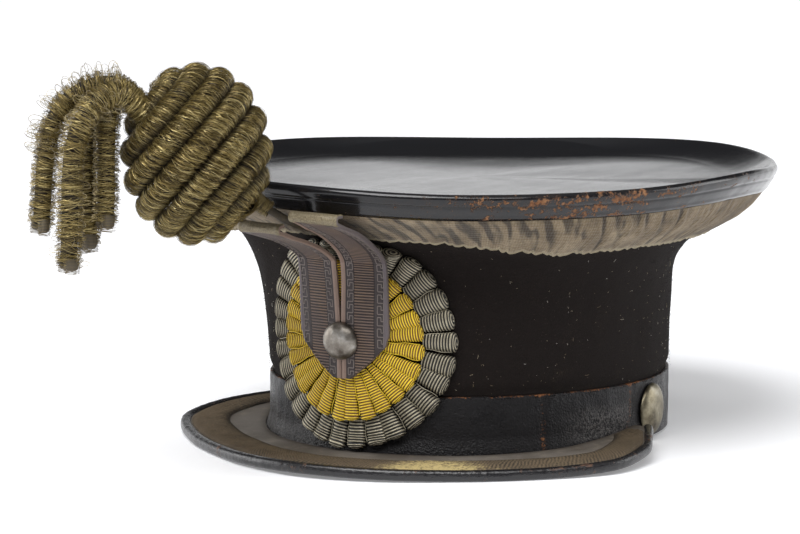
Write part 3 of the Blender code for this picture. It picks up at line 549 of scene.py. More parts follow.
def crownTop():
    pile = Pile()
    bearing = np.linspace(180, 540, 321)[:, None]
    high = hat["crownHeight"]
    reach = hat["rimOverhang"]
    low = high - hat["rimBand"]
    mid = high - hat["crownWall"] - 0.75 * hat["dishDepth"]
    roll = crown["roll"]

    # out and height from the dish's edge, over the roll and down the turned band
    t = np.linspace(0, 1, 22)
    slopeOut = reach - crown["dishSlope"] + (crown["dishSlope"] - 1.7 * roll) * t
    slopeUp = high - hat["dishDepth"] * (1 - t ** 1.7) - 0.0004
    turn = np.linspace(math.radians(118), math.radians(-20), 12)
    rollOut = reach - roll + roll * np.cos(turn)
    rollUp = high - roll + roll * np.sin(turn)
    drop = np.linspace(0, 1, 20)[1:]
    startOut = rollOut[-1]
    startUp = rollUp[-1]
    endOut = (flare(bearing, low) + hat["gap"] + hat["crownWall"])[:, 0]
    midOut = (flare(bearing, mid) + hat["gap"] + hat["crownWall"])[:, 0]
    # the band bulges a little above its lower edge, and a seam groove runs under the roll
    bulge = 1.03 * midOut[:, None] - 0.0003
    bandOut = (1 - drop) ** 2 * startOut + 2 * drop * (1 - drop) * bulge + drop ** 2 * endOut[:, None]
    bandUp = startUp + (low - startUp) * drop
    seam = np.exp(-((drop - 0.30) / 0.045) ** 2)
    hem = np.exp(-((drop - 0.90) / 0.10) ** 2)
    bandOut = bandOut - 0.00055 * seam + 0.0004 * hem
    rows = len(bearing)
    out = np.concatenate((np.tile(slopeOut, (rows, 1)), np.tile(rollOut, (rows, 1)), bandOut), 1)
    up = np.concatenate((slopeUp, rollUp, bandUp))[None]
    around = np.radians(bearing)
    wave = wander(7 * np.sin(around), 7 * np.cos(around) + up / 0.02, 11)
    out = out + 0.00022 * wave
    points = ringPoints(bearing, out, up + 0 * out)
    edge = np.concatenate((0.55 * t ** 8, 0.55 + 0.3 * np.linspace(0, 1, 12),
                           0.95 - 0.45 * drop + 0.25 * hem))[None]
    # worn most towards the wearer's left front, where the hat was handled
    facing = turned(bearing)
    handled = 0.30 + 0.75 * np.exp(-((facing - 52) / 30) ** 2) + 0.35 * np.exp(-((facing + 120) / 60) ** 2)
    handled = handled + 0.25 * np.exp(-((facing - 96) / 10) ** 2)
    handled = handled + 0.18 * wander(5 * np.sin(around), 5 * np.cos(around), 5)
    pile.addGrid(points, worn=edge * handled)

    # the floor of the dish, gently uneven, as a fan of rings
    share = np.linspace(1, 0.002, 46)[None]
    ring = points[:, :1]
    centre = points[:, 0].mean(0)
    floor = centre + (ring - centre) * share[..., None]
    flat = toHat(floor)
    swell = wander(flat[..., 0] / 0.16, flat[..., 1] / 0.16, 21, 2) * np.sin(np.pi * share) ** 0.7
    flat[..., 2] += 0.0003 * swell - 0.0006 * (1 - share ** 2)
    pile.addGrid(toWorld(flat), flip=True, worn=0.0)

    # underneath
    inner = np.stack([bandOut[:, -1], endOut - hat["crownWall"], midOut - hat["crownWall"],
                      midOut * 0 + reach - 0.005], 1)
    innerUp = np.array([low, low, mid, high - 0.0026])[None]
    under = ringPoints(bearing, inner, innerUp + 0 * inner)
    pile.addGrid(under, worn=0.0)
    below = toHat(under[:, -1:])
    middle = below.mean((0, 1))
    spread = np.array([1, 0.86, 0.5, 0.002])[None, :, None]
    disc = middle + (below - middle) * spread
    disc[..., 2] = np.array([high - 0.0026, high - 0.0086, high - 0.0092, high - 0.0100])
    pile.addGrid(toWorld(disc), worn=0.0)
    pile.piece("crownTop", lacquerFinish(), "crown_top")
    print("crown top made")


# braid under the rim

rimBraid = {
    "scallop": 0.0054,                  # pitch of its wavy lower edge
    "scallopDepth": 0.0010,
    "pucker": 0.00075,
    "wall": 0.0009,
}


def rimBraidFinish():
    finish = Finish("fadedBraid", Roughness=0.88, Sheen_Weight=0.15)
    around = finish.number("around")
    down = finish.number("down")
    ridge = finish.number("ridge")
    thread = (around * 5400 + down * 900).math("SINE", around * 5400 + down * 900)
    cross = (down * 4200).math("SINE", down * 4200)
    cloud = finish.noise(70, 4, 0.6)
    fine = finish.noise(900, 4, 0.75)
    weave = thread * 0.35 + cross * 0.25 + fine
    colour = finish.ramp(cloud * 0.6 + fine * 0.4, (0.30, (0.066, 0.045, 0.024)),
                         (0.50, (0.190, 0.142, 0.085)),
                         (0.70, (0.350, 0.278, 0.178)))
    # painted shade: the braid is darkened towards near black in the valleys of its folds and puckers, where
    # the ridge number is low
    colour = finish.mix((0.62 - ridge).between(0.0, 0.55) * 0.85, colour, (0.026, 0.018, 0.011))
    colour = finish.mix((finish.number("hem") * (0.6 + 0.6 * fine)).atMost(1), colour, (0.42, 0.36, 0.245))
    relief = finish.relief(weave, 0.00022)
    relief = finish.relief(cloud, 0.0008, relief)
    return finish.set(Base_Color=colour, Normal=relief)


def braidShape(bearing, share):
    # out and height of the braid, share 0 at its hem and 1 under the rim
    length = np.interp(turned(bearing), arcBearings, arcLengths) * 1.35
    bottom = braidBottom(bearing)
    top = hat["crownHeight"] - hat["rimBand"] - hat["gap"]
    around = np.radians(bearing)
    jitter = wander(9 * np.sin(around), 9 * np.cos(around), 31)
    phase = 2 * np.pi * length / rimBraid["scallop"] + 2.2 * jitter
    lobe = np.abs(np.sin(0.5 * phase)) ** 0.8 - 0.5
    depth = rimBraid["scallopDepth"] * (0.5 + 0.7 * ease(abs(turned(bearing)), 15, 45))
    z = bottom + (top - bottom) * share - depth * lobe * (1 - share) ** 3
    z = z - 0.0009 * jitter * (1 - share) ** 2
    # puckers lean over and deepen towards the sides
    amount = 0.35 + 0.85 * ease(abs(turned(bearing)), 30, 62)
    slant = length + 0.011 * share * np.sign(turned(bearing) + 1e-6)
    fold = wander(slant / 0.0062, share * 0.5, 33, 2) + 0.45 * np.sin(2 * np.pi * slant / 0.0083 + 3 * jitter)
    crease = np.abs(np.sin(np.pi * (slant + 0.0015 * wander(length / 0.02, share, 35)) / 0.0047 + 2 * jitter))
    fold = fold + 0.9 * (np.sqrt(crease) - 0.7)
    lift = rimBraid["pucker"] * amount * (0.8 + fold) * (0.35 + 0.65 * np.sin(np.pi * np.clip(share, 0, 1)))
    flutter = 0.0007 * (lobe + 0.5) * (1 - share) ** 4
    slope = (flare(bearing, z + 0.002) - flare(bearing, z - 0.002)) / 0.004
    lay = (hat["gap"] + rimBraid["wall"]) * np.minimum(np.hypot(1.0, slope), 2.2)
    return flare(bearing, z) + lay + np.maximum(lift, -0.0004) + flutter, z, fold


def rimBraidPiece():
    pile = Pile()
    bearing = np.linspace(180, 540, 1441)[:, None]
    share = np.linspace(0, 1, 26)[None]
    out, z, fold = braidShape(bearing, share)
    length = np.interp(turned(bearing), arcBearings, arcLengths) * 1.35
    hem = np.exp(-((share / 0.05) ** 2)) * np.ones_like(out)
    points = ringPoints(bearing, out, z)
    pile.addGrid(points, around=np.broadcast_to(length, out.shape),
                 down=0.018 * np.broadcast_to(share, out.shape),
                 ridge=0.5 + 0.5 * fold, hem=hem)
    # the hem's returned edge
    under = ringPoints(bearing, flare(bearing, z[:, :1]) + hat["gap"], z[:, :1])
    back = np.concatenate((under, points[:, :1]), 1)
    pile.addGrid(back, around=0.0, down=0.0, ridge=0.5, hem=1.0)
    # a corded edge along the hem
    edge = points[:-1, 0]
    outward = unit(ringPoints(bearing[:-1], out[:-1, :1] + 0.001, z[:-1, :1]) - points[:-1, :1])[:, 0]
    along = unit(np.roll(edge, -1, 0) - np.roll(edge, 1, 0))
    up = np.cross(outward, along)
    angles = np.linspace(0, 2 * np.pi, 7)[:-1]
    cord = edge[:, None] + 0.00034 * (np.cos(angles)[None, :, None] * outward[:, None]
                                      + np.sin(angles)[None, :, None] * up[:, None])
    cord = np.concatenate((cord, cord[:1]))
    pile.addGrid(cord, close=True, around=0.0, down=0.0, ridge=0.75, hem=0.8)
    made = pile.piece("rimBraid", rimBraidFinish(), "rim_braid")
    print("rim braid made")
    return made


# cockade

cockade = {
    "outer": {"pleats": 30, "start": 0.0343, "end": 0.0488, "back": 0.0006, "thick": 0.0050,
              "rib": 0.00140, "cap": 0.0019, "steps": 88, "sides": 16},
    "inner": {"pleats": 28, "start": 0.0150, "end": 0.0360, "back": 0.0037, "thick": 0.0034,
              "rib": 0.00118, "cap": 0.0015, "steps": 104, "sides": 14},
    "ribRise": 0.00048,
    "thread": 0.00017,                  # half width of the stitching in the valleys
    "silver": (0.46, 0.415, 0.310),
    # the two groove colours are painted shade in the grooves between the wound wires, and also serve as the
    # soot colour
    "silverGrooveShadeAndSoot": (0.006, 0.005, 0.004),
    "yellow": (0.96, 0.68, 0.035),
    "yellowGrooveShadeAndSoot": (0.150, 0.066, 0.004),
}


def cordFinish(name, bright, groove, metallic, roughness):
    finish = Finish(name)
    rib = finish.number("rib")
    tone = finish.number("tone")
    cloud = finish.noise(120, 4, 0.6)
    fine = finish.noise(1300, 3, 0.6)
    crest = finish.number("crest")
    # painted light and shade: each rib is lit towards the bright colour and its groove left at the dark
    # groove colour, and the crest number lightens the top of each pleat and its end cap and darkens its sides
    # towards the valleys
    share = rib.between(0.28, 0.92) * (0.66 + 0.55 * cloud) * (0.80 + 0.40 * fine) * (0.45 + 0.75 * crest)
    colour = finish.mix((share * (0.72 + 0.36 * tone)).atMost(1), groove, bright)
    soot = (cloud * 0.6 + fine * 0.4 - rib * 0.15).between(0.50, 0.66) * 0.45
    colour = finish.mix(soot, colour, groove)
    relief = finish.relief(finish.noise(3200, 2, 0.5, (1, 1, 1)), 0.00010)
    return finish.set(Base_Color=colour, Metallic=metallic * rib, Roughness=roughness + 0.2 * cloud,
                      Normal=relief)


def pleatedRing(name, sizes, finish, seed):
    # each pleat is a roll of wound cord lying outwards, its end closed by a spiral
    pile = Pile()
    pick = np.random.default_rng(seed)
    count = sizes["pleats"]
    body = int(sizes["steps"] * 0.72)
    around = np.linspace(0, 2 * np.pi, sizes["sides"] + 1)[None]
    for k in range(count):
        angle = 2 * math.pi * (k + 0.5 + pick.normal() * 0.05) / count
        cap = sizes["cap"] * pick.uniform(0.85, 1.1)
        end = sizes["end"] - pick.uniform(0, 0.0007)
        run = end - cap - sizes["start"]
        step = np.linspace(0, 1, body)
        turn = np.linspace(0, 0.5 * np.pi, sizes["steps"] - body + 1)[1:]
        out = np.concatenate((sizes["start"] + run * step, end - cap + cap * np.sin(turn)))[:, None]
        # the end is blunt, so that its spiral faces outwards
        shrink = np.concatenate((np.ones(body), np.cos(turn)))[:, None]
        out[body:, 0] = end - cap + cap * np.sin(turn) ** 0.55
        wide = np.pi * np.minimum(out, end - 0.6 * cap) / count * pick.uniform(0.95, 1.04)
        taper = np.clip(0.60 + 0.40 * (out - sizes["start"]) / run, 0, 1)
        high = 0.5 * sizes["thick"] * pick.uniform(0.9, 1.0) * taper
        arc = 0.5 * np.pi * math.hypot(cap, 0.5 * (wide[-1, 0] + high[-1, 0])) / math.sqrt(2)
        length = np.concatenate((run * step, run + arc * turn / (0.5 * np.pi)))[:, None]
        phase = 2 * np.pi * length / sizes["rib"] + around + pick.uniform(0, 6.28)
        phase = phase + 0.35 * np.sin(length / 0.0031 + pick.uniform(0, 6.28))
        rib = 0.5 + 0.5 * np.cos(phase)
        rib = rib * ease(shrink, 0.05, 0.24)
        rise = cockade["ribRise"]
        bulge = 1 + 0.035 * np.sin(length / 0.0045 + k)
        lateral = (wide * bulge - rise + rise * rib) * shrink * np.sin(around)
        middle = sizes["back"] + high
        lift = middle + (high - rise + rise * rib) * shrink * np.cos(around)
        lift = np.maximum(lift, sizes["back"])
        reach = out + rise * rib * (1 - shrink) - 0.0009 * (1 - ease(shrink, 0.03, 0.22)) + 0 * around
        lean = pick.normal() * 0.02
        lateral = lateral + lean * (reach - sizes["start"])
        side = reach * math.sin(angle) + lateral * math.cos(angle)
        climb = reach * math.cos(angle) - lateral * math.sin(angle)
        tone = pick.uniform(0.2, 1.0)
        # painted light: the crest number is high on the top of each pleat and on its end cap, and low down
        # its sides towards the valleys
        crest = np.clip(0.35 + 0.75 * np.cos(around), 0, 1) + 0.6 * (1 - shrink)
        pile.addGrid(onFront(side, climb, lift), rib=rib, tone=tone, crest=np.clip(crest, 0, 1))
        # the thread that holds down the valley beside it
        valley = 2 * math.pi * (k + pick.normal() * 0.04) / count
        place = np.linspace(sizes["start"] + 0.001, end - 1.1 * cap, 16)
        rest = sizes["back"] + 0.5 * sizes["thick"] * (0.66 + 0.30 * np.linspace(0, 1, 16)) + 0.0002
        wobble = 0.00025 * np.sin(place / 0.0017 + k)
        line = onFront(place * math.sin(valley) + wobble * math.cos(valley),
                       place * math.cos(valley) - wobble * math.sin(valley), rest)
        above = onFront(place * math.sin(valley), place * math.cos(valley), rest + 0.001)
        pile.addWires(line[None], unit(above - line)[None], cockade["thread"], rib=0.8, tone=0.6, crest=0.7)
    slot, node = name.split(":")
    pile.piece(node.replace("_", ""), finish, node)


def cockadeRings():
    silver = cordFinish("tarnishedCord", cockade["silver"], cockade["silverGrooveShadeAndSoot"], 0.72, 0.30)
    yellow = cordFinish("yellowCord", cockade["yellow"], cockade["yellowGrooveShadeAndSoot"], 0.0, 0.36)
    pleatedRing("silver_cord:cockade_outer", cockade["outer"], silver, 71)
    pleatedRing("yellow_cord:cockade_inner", cockade["inner"], yellow, 72)
    print("cockade made")


# braid loop over the cockade

loop = {
    "width": 0.0225,
    "wall": 0.0012,
    "tail": 0.0167,
    "straight": 0.0370,
    "spread": 0.0045,
    "early": 0.25,
    "rise": 0.0074,                     # underside above the body's skin
    "reach": {"left": 0.0570, "right": 0.0500},
    "belowRim": {"left": 0.0130, "right": 0.0200},
    "inner": 0.0024,                    # plain edge next to the other half
    "outer": 0.0018,
    "border": 0.0042,                   # width of the key-pattern borders
    "key": 0.0049,                      # one repeat of the pattern
    "keyWidth": 0.0027,
    "rib": 0.00125,
}
# one repeat of the key pattern: along, then across its border
keyPath = ((0.0, 0.0), (0.0, 1.0), (0.72, 1.0), (0.72, 0.38), (0.38, 0.38), (0.38, 0.0), (1.0, 0.0))


def loopFinish():
    finish = Finish("ribbedBraid")
    along = finish.number("along")
    across = finish.number("across")
    key = finish.number("key")
    khaki = finish.number("khaki")
    innerEnd = loop["inner"] + loop["border"]
    outerStart = loop["width"] - loop["outer"] - loop["border"]
    middle = (across.between(innerEnd - 0.0002, innerEnd)
              * (1 - across.between(outerStart, outerStart + 0.0002)))
    inEdge = 1 - across.between(loop["inner"] - 0.0002, loop["inner"])
    outEdge = across.between(loop["width"] - loop["outer"], loop["width"] - loop["outer"] + 0.0002)
    phase = along * (2 * math.pi / loop["rib"])
    wave = phase.math("SINE", phase) * 0.5 + 0.5
    cloud = finish.noise(75, 4, 0.6)
    fine = finish.noise(1600, 3, 0.6)
    rib = wave.between(0.18, 0.72)
    colour = finish.mix(rib, (0.026, 0.019, 0.019), finish.mix(cloud.between(0.4, 0.7), (0.170, 0.122, 0.104),
                                                             (0.235, 0.160, 0.112)))
    ground = finish.mix(cloud, (0.030, 0.023, 0.024), (0.058, 0.045, 0.044))
    colour = finish.mix(1 - middle, colour, ground)
    colour = finish.mix(key, colour, (0.185, 0.155, 0.140))
    colour = finish.mix(inEdge * (0.5 + 0.5 * cloud), colour, (0.300, 0.205, 0.160))
    colour = finish.mix(outEdge * 0.8, colour, (0.150, 0.125, 0.132))
    # dark lines where the borders meet the ribs and edges
    lines = 0.0
    for place in (loop["inner"] + 0.0002, innerEnd, outerStart, loop["width"] - loop["outer"] - 0.0002):
        near = 1 - (across - place).math("ABSOLUTE", across - place).between(0.0001, 0.00034)
        lines = near + lines
    colour = finish.mix(lines.atMost(1) * 0.85 * (1 - key), colour, (0.020, 0.015, 0.016))
    colour = finish.mix(fine.between(0.55, 0.8) * 0.25, colour, (0.030, 0.022, 0.022))
    colour = finish.mix(khaki, colour, finish.ramp(fine, (0.3, (0.10, 0.078, 0.045)),
                                                   (0.7, (0.26, 0.215, 0.130))))
    height = wave * middle + fine * 0.15
    return finish.set(Base_Color=colour, Metallic=0.25 - 0.25 * khaki, Roughness=0.42 + 0.25 * cloud,
                      Normal=finish.relief(height, 0.00030))


def loopPath(half):
    # reach and height of the free run, from the top of the upright one to the loose end
    z = np.interp(loop["straight"], climbLengths, climbHeights)
    slope = (skin(0.0, z + 0.002) - skin(0.0, z - 0.002)) / 0.004
    size = math.hypot(1.0, slope)
    bend = np.array([skin(0.0, z) + loop["rise"] / size, z - loop["rise"] * slope / size])
    end = np.array([loop["reach"][half], hat["crownHeight"] - loop["belowRim"][half]])
    guide = bend + (end - bend) * np.array([0.18, 0.52])
    t = np.linspace(0, 1, 90)[:, None]
    line = (1 - t) ** 2 * bend + 2 * t * (1 - t) * guide + t * t * end
    # the last few millimetres are turned up and back, and show the braid's plain side
    ahead = unit(end - guide)
    upward = np.array([-ahead[1], ahead[0]])
    turn = np.linspace(0, math.pi * 0.82, 14)[1:, None]
    hem = end + 0.0009 * (ahead * np.sin(turn) + upward * (1 - np.cos(turn)))
    back = -ahead * math.cos(math.pi * 0.18) + upward * 0.25
    tail = hem[-1] + unit(back) * np.linspace(0, 0.0030, 8)[1:, None]
    return np.concatenate((line, hem, tail)), len(line)


def loopHalf(half, sign, finish):
    pile = Pile()
    climb = np.linspace(-loop["tail"], loop["straight"], 150)
    line, free = loopPath(half)
    length = np.concatenate(([0.0], np.cumsum(np.linalg.norm(np.diff(line, axis=0), axis=1))))
    normal = np.stack([np.gradient(line[:, 1]), -np.gradient(line[:, 0])], 1)
    normal = unit(normal)
    t = np.clip(np.arange(len(line)) / (free - 1), 0, 1)
    columns = np.linspace(0, 1, 40)[None]

    shares = np.interp(-climb / loop["tail"], (-0.25, 0.10, 0.55, 1.0), (1.0, 0.92, 0.60, 0.20))
    inner = 0.00015 + loop["spread"] * loop["early"] * ease(climb, 0.0, loop["straight"])
    outer = loop["width"] * shares
    innerFree = 0.00015 + loop["spread"] * (loop["early"] + (1 - loop["early"]) * t)
    inner = np.concatenate((inner, innerFree[1:]))[:, None]
    outer = np.concatenate((outer, (loop["width"] + innerFree * t)[1:]))[:, None]
    side = inner + (outer - inner) * columns
    across = np.clip((side - inner) * loop["width"] / (loop["width"] - 0.0011), 0, 1)
    along = np.concatenate((climb, climb[-1] + length[1:]))[:, None] + 0 * columns
    edge = np.minimum((side - inner) / loop["inner"], 1)
    farEdge = np.minimum((outer - side) / loop["outer"], 1)
    swell = 0.00035 * (np.sin(np.pi * np.clip(edge, 0, 1)) + np.sin(np.pi * np.clip(farEdge, 0, 1)))
    sag = 0.0005 * wander(side / 0.03, along / 0.03, 44 + sign) * ease(along, loop["straight"], 0.07)

    def place(lift, columnPick=slice(None)):
        s = side[:, columnPick]
        up = np.broadcast_to(lift, side.shape)[:, columnPick]
        flatPart = onFront(sign * s[:150], climb[:, None] + 0 * s[:150], loop["rise"] + up[:150])
        reach = line[1:, 0, None] + normal[1:, 0, None] * up[150:]
        high = line[1:, 1, None] + normal[1:, 1, None] * up[150:]
        bearing = np.interp(s[150:] / (1 + reach / frontRadius), arcLengths, arcBearings) * sign
        return np.concatenate((flatPart, ringPoints(bearing, reach, high)))

    khaki = np.zeros(side.shape)
    khaki[150 + free - 2:] = 1.0
    over = place(loop["wall"] + swell + sag)
    under = place(sag + 0.0)
    numbers = {"along": along, "across": across, "khaki": khaki}
    flip = sign > 0
    pile.addGrid(over, flip=flip, **numbers)
    pile.addGrid(under, flip=not flip, along=along, across=across, khaki=np.maximum(khaki, 0.75))
    for column in (0, -1):
        rim = np.stack((over[:, column], under[:, column]), 1)
        pile.addGrid(rim, along=0.0, across=across[:, column].mean(), khaki=0.15)
    for row in (0, -1):
        rim = np.stack((over[row], under[row]), 1)
        pile.addGrid(rim, along=0.0, across=0.0, khaki=0.6 if row else 0.3)

    # the key patterns, raised along both borders
    total = along[150 + free - 2, 0] + loop["tail"]
    repeats = int(total / loop["key"])
    border = 0.5 * (loop["border"] - loop["keyWidth"])
    for start, sense in ((loop["inner"] + border, 1), (loop["width"] - loop["outer"] - border, -1)):
        points = []
        for k in range(repeats):
            for a, b in keyPath[:-1]:
                points.append(((k + a) * loop["key"], start + sense * b * loop["keyWidth"]))
        points = np.array(points)
        fine = []
        for first, second in zip(points, points[1:]):
            fine += [first + (second - first) * f for f in (0.06, 0.5, 0.94)]
        fine = np.array(fine)
        places = sampled(over, along[:, 0] + loop["tail"], side - inner, fine)
        higher = sampled(place(loop["wall"] + 0.001 + swell + sag), along[:, 0] + loop["tail"],
                         side - inner, fine)
        outward = unit(higher - places)
        limit = np.interp(fine[:, 0], along[:, 0] + loop["tail"], (outer - inner)[:, 0]) - 0.0004
        inside = fine[:, 1] < limit
        for run in np.split(np.arange(len(fine)), np.flatnonzero(np.diff(inside.astype(int))) + 1):
            if inside[run[0]] and len(run) > 3:
                raised = places[run] + outward[run] * 0.00003
                pile.addWires(raised[None], outward[run][None] * 0.9, 0.00021, along=0.0, across=0.004,
                              key=1.0, khaki=0.0)
    made = pile.piece("loop" + half.capitalize(), finish, "loop_" + half)


def sampled(grid, along, across, wanted):
    # places on a grid whose rows lie at the distances along, and columns at those across
    row = np.clip(np.interp(wanted[:, 0], along, np.arange(len(along))), 0, len(along) - 1.001)
    low = row.astype(int)
    share = (row - low)[:, None]
    places = []
    for offset in (0, 1):
        lines = across[low + offset]
        column = np.array([np.interp(w, line, np.arange(len(line))) for w, line in zip(wanted[:, 1], lines)])
        column = np.clip(column, 0, grid.shape[1] - 1.001)
        left = column.astype(int)
        part = (column - left)[:, None]
        places.append(grid[low + offset, left] * (1 - part) + grid[low + offset, left + 1] * part)
    return places[0] * (1 - share) + places[1] * share


def loopHalves():
    finish = loopFinish()
    loopHalf("left", 1, finish)
    loopHalf("right", -1, finish)
    print("braid loop made")


# button and bosses

domes = {
    "profile": ((0.0, 0.90), (0.12, 1.0), (0.30, 0.98), (0.68, 0.80), (0.93, 0.45), (1.0, 0.0)),
    "button": {"radius": 0.0085, "rise": 0.0048, "lift": 0.0089},
    "boss": {"radius": 0.0115, "rise": 0.0042, "lift": 0.0003, "height": 0.0125, "bearing": 97.0},
}


def metalFinish(name, dark, bright, pale):
    finish = Finish(name, Metallic=0.92)
    cloud = finish.noise(160, 5, 0.62)
    broad = finish.noise(60, 3, 0.5)
    fine = finish.noise(1100, 4, 0.7)
    colour = finish.ramp(cloud * 0.6 + broad * 0.4, (0.36, dark), (0.52, bright), (0.66, pale))
    colour = finish.mix(fine.between(0.56, 0.72) * 0.55, colour, dark)
    relief = finish.relief(cloud, 0.0004)
    relief = finish.relief(fine, 0.00005, relief)
    return finish.set(Base_Color=colour, Roughness=0.22 + 0.34 * cloud, Normal=relief)


def domed(name, sizes, place, finish, node):
    pile = Pile()
    turn = np.linspace(0, 1, 40)
    corners = domes["profile"]
    length = np.concatenate(([0.0], np.cumsum([math.dist(a, b) for a, b in zip(corners, corners[1:])])))
    share = smoothThrough(length, [c[1] for c in corners], turn * length[-1])[None]
    height = smoothThrough(length, [c[0] for c in corners], turn * length[-1])[None]
    angle = np.linspace(0, 2 * np.pi, 65)[:, None]
    side = sizes["radius"] * share * np.sin(angle)
    climb = sizes["radius"] * share * np.cos(angle)
    pile.addGrid(place(side, climb, sizes["lift"] + sizes["rise"] * height + 0 * side))
    back = np.linspace(0.001, 0.9, 4)[None]
    pile.addGrid(place(sizes["radius"] * back * np.sin(angle), sizes["radius"] * back * np.cos(angle),
                       sizes["lift"] + 0 * back * angle))
    return pile.piece(name, finish, node)


def buttonAndBosses():
    silver = metalFinish("wornSilver", (0.085, 0.070, 0.058), (0.26, 0.235, 0.205), (0.50, 0.48, 0.45))
    domed("cockadeButton", domes["button"], onFront, silver, "cockade_button")
    brass = metalFinish("tarnishedBrass", (0.060, 0.046, 0.030), (0.255, 0.225, 0.155), (0.44, 0.41, 0.33))
    sizes = domes["boss"]
    for name, sign in (("Left", 1), ("Right", -1)):
        def place(side, climb, rise, sign=sign):
            return onBand(sign * sizes["bearing"], side, sizes["height"] + climb, rise)
        domed("boss" + name, sizes, place, brass, "boss_" + name.lower())
    print("button and bosses made")


# base band

band = {
    "worn": (0.230, 0.092, 0.034),      # orange-brown edges
    "seam": 55.0,                        # bearing of the worn vertical seam
    "crease": 87.0,                      # bearing of the crease in front of the boss
}


def bandFinish():
    finish = Finish("bandLeather", IOR=1.5, Specular_IOR_Level=0.20)
    cloud = finish.noise(38, 5, 0.6)
    pores = finish.specks(1150)
    grain = finish.noise(900, 4, 0.65)
    crease = finish.noise(95, 4, 0.6, (1, 1, 0.35))
    worn = finish.number("worn")
    rubbed = finish.number("rubbed")
    colour = finish.mix(cloud, (0.0050, 0.0046, 0.0050), (0.0170, 0.0158, 0.0172))
    # painted highlight: where the rubbed number is high the leather is lightened to a pale grey, broken up by
    # the grain, as a sheen
    colour = finish.mix(rubbed * grain.between(0.42, 0.62) * 0.8, colour, (0.135, 0.125, 0.120))
    speck = (1 - finish.specks(260).between(0.03, 0.09)) * finish.noise(70, 2).between(0.54, 0.66)
    colour = finish.mix(speck * 0.7, colour, (0.26, 0.22, 0.17))
    gone = (worn + (grain - 0.5) * 1.1 + (crease - 0.5) * 0.7).between(0.42, 0.62)
    tan = finish.mix(grain.between(0.4, 0.6), (0.085, 0.030, 0.012), band["worn"])
    colour = finish.mix(gone, colour, tan)
    relief = finish.relief(pores * 0.6 + grain, 0.00040)
    relief = finish.relief(crease, 0.0012, relief)
    roughness = 0.16 + 0.32 * cloud.between(0.3, 0.7) + 0.25 * gone
    return finish.set(Base_Color=colour, Roughness=roughness, Normal=relief)


def baseBand():
    pile = Pile()
    bearing = np.linspace(180, 540, 421)[:, None]
    facing = turned(bearing)
    height = hat["bandHeight"]
    wall = hat["bandWall"]
    z = np.linspace(0.0004, height - 0.0006, 48)[None]
    around = np.radians(bearing)
    crease = np.exp(-((facing - band["crease"] - 60 * (z - 0.013)) / 1.3) ** 2)
    out = foot(bearing, z) + 0.00025 * wander(6 * around, z / 0.02, 51) - 0.0007 * crease
    out = out - 0.00045 * np.exp(-((facing - band["seam"]) / 0.7) ** 2)
    out = out + 0.00030 * np.exp(-((facing - band["seam"] - 2.2) / 1.6) ** 2)
    ends = np.radians(np.linspace(0, 90, 6))[None]
    top = out[:, -1:] - 0.0005 + 0.0005 * np.cos(ends)
    topZ = height - 0.0006 + 0.0006 * np.sin(ends)
    waveZ = 0.00022 * wander(14 * around, 0 * around, 52)
    whole = np.concatenate((out, top, top[:, -1:] - wall + 0.0005), 1)
    up = np.concatenate((z + 0 * out, topZ + waveZ, topZ[:, -1:] + waveZ), 1)
    worn = ease(up, height - 0.0014, height - 0.0001) * (0.42 + 0.16 * wander(5 * around, 0, 53))
    worn = worn + 0.46 * np.exp(-((facing - band["seam"]) / 1.5) ** 2) * (1 - 0.4 * ease(up, 0, height))
    worn = worn + 0.40 * np.exp(-((facing - band["crease"] + 1.5 - 60 * (up - 0.013)) / 1.6) ** 2)
    worn = worn + 0.22 * (1 - ease(up, 0.0, 0.0012))
    # painted highlight: the rubbed number marks a sheen on the band's side towards the boss and low on its
    # left front
    rubbed = (ease(facing, 58, 72) * (1 - ease(facing, 84, 90))
              * (1 - ease(up, 0.013, 0.021)) * ease(up, 0.002, 0.006))
    rubbed = rubbed + 0.5 * np.exp(-((facing + 30) / 22) ** 2) * (1 - ease(up, 0.006, 0.014))
    pile.addGrid(ringPoints(bearing, whole, up), worn=worn, rubbed=rubbed)
    lip = wall + hat["gap"] + hat["feltWall"]
    inside = np.stack([top[:, -1] - wall + 0.0005, -wall + 0 * bearing[:, 0], -lip + 0 * bearing[:, 0],
                       -lip + 0 * bearing[:, 0], out[:, 0] * 0.5, out[:, 0]], 1)
    insideZ = np.array([height, wall, wall, 0.0, 0.0, 0.0004])[None] + 0 * inside
    pile.addGrid(ringPoints(bearing, inside, insideZ), worn=0.1)
    pile.piece("baseBand", bandFinish(), "base_band")
    print("base band made")


# visor, its binding and braid

visor = {
    "width": 0.041,
    "drop": 0.0048,
    "rise": 0.0050,
    "wall": 0.0024,
    "end": 88.0,
    "bindingDepth": 0.0050,
    "bindingHeight": 0.0050,
    "braidWidth": 0.0170,
    "braidWall": 0.0008,
    "braidEnd": 81.7,
    "stroke": 0.00175,                  # pitch of the braid's slanted strokes
}
visorTable = {
    "bearing": (0, 15, 30, 45, 60, 72, 80, 88),
    "width": (1.00, 0.94, 0.87, 0.91, 1.00, 0.79, 0.49, 0.24),
    "edge": (-0.83, -0.93, -1.00, -0.90, -0.50, 0.10, 0.50, 0.68),
    "root": (-0.28, -0.28, -0.28, -0.20, 0.00, 0.40, 0.70, 0.95),
}


def visorLine(bearing):
    xs = visorTable["bearing"]
    xs = [-x for x in xs[:0:-1]] + list(xs)
    read = {k: smoothThrough(xs, list(visorTable[k][:0:-1]) + list(visorTable[k]), bearing)
            for k in ("width", "edge", "root")}
    start = hat["footSpread"] * (1 - ease(abs(bearing), 70, 88)) + hat["gap"]
    return visor["width"] * read["width"], visor["drop"] * read["edge"], start, visor["rise"] * read["root"]


def visorHeight(bearing, out):
    width, edge, start, root = visorLine(bearing)
    share = (out - start) / (width - 0.0013 - start)
    return root + (edge + 0.0013 - root) * share


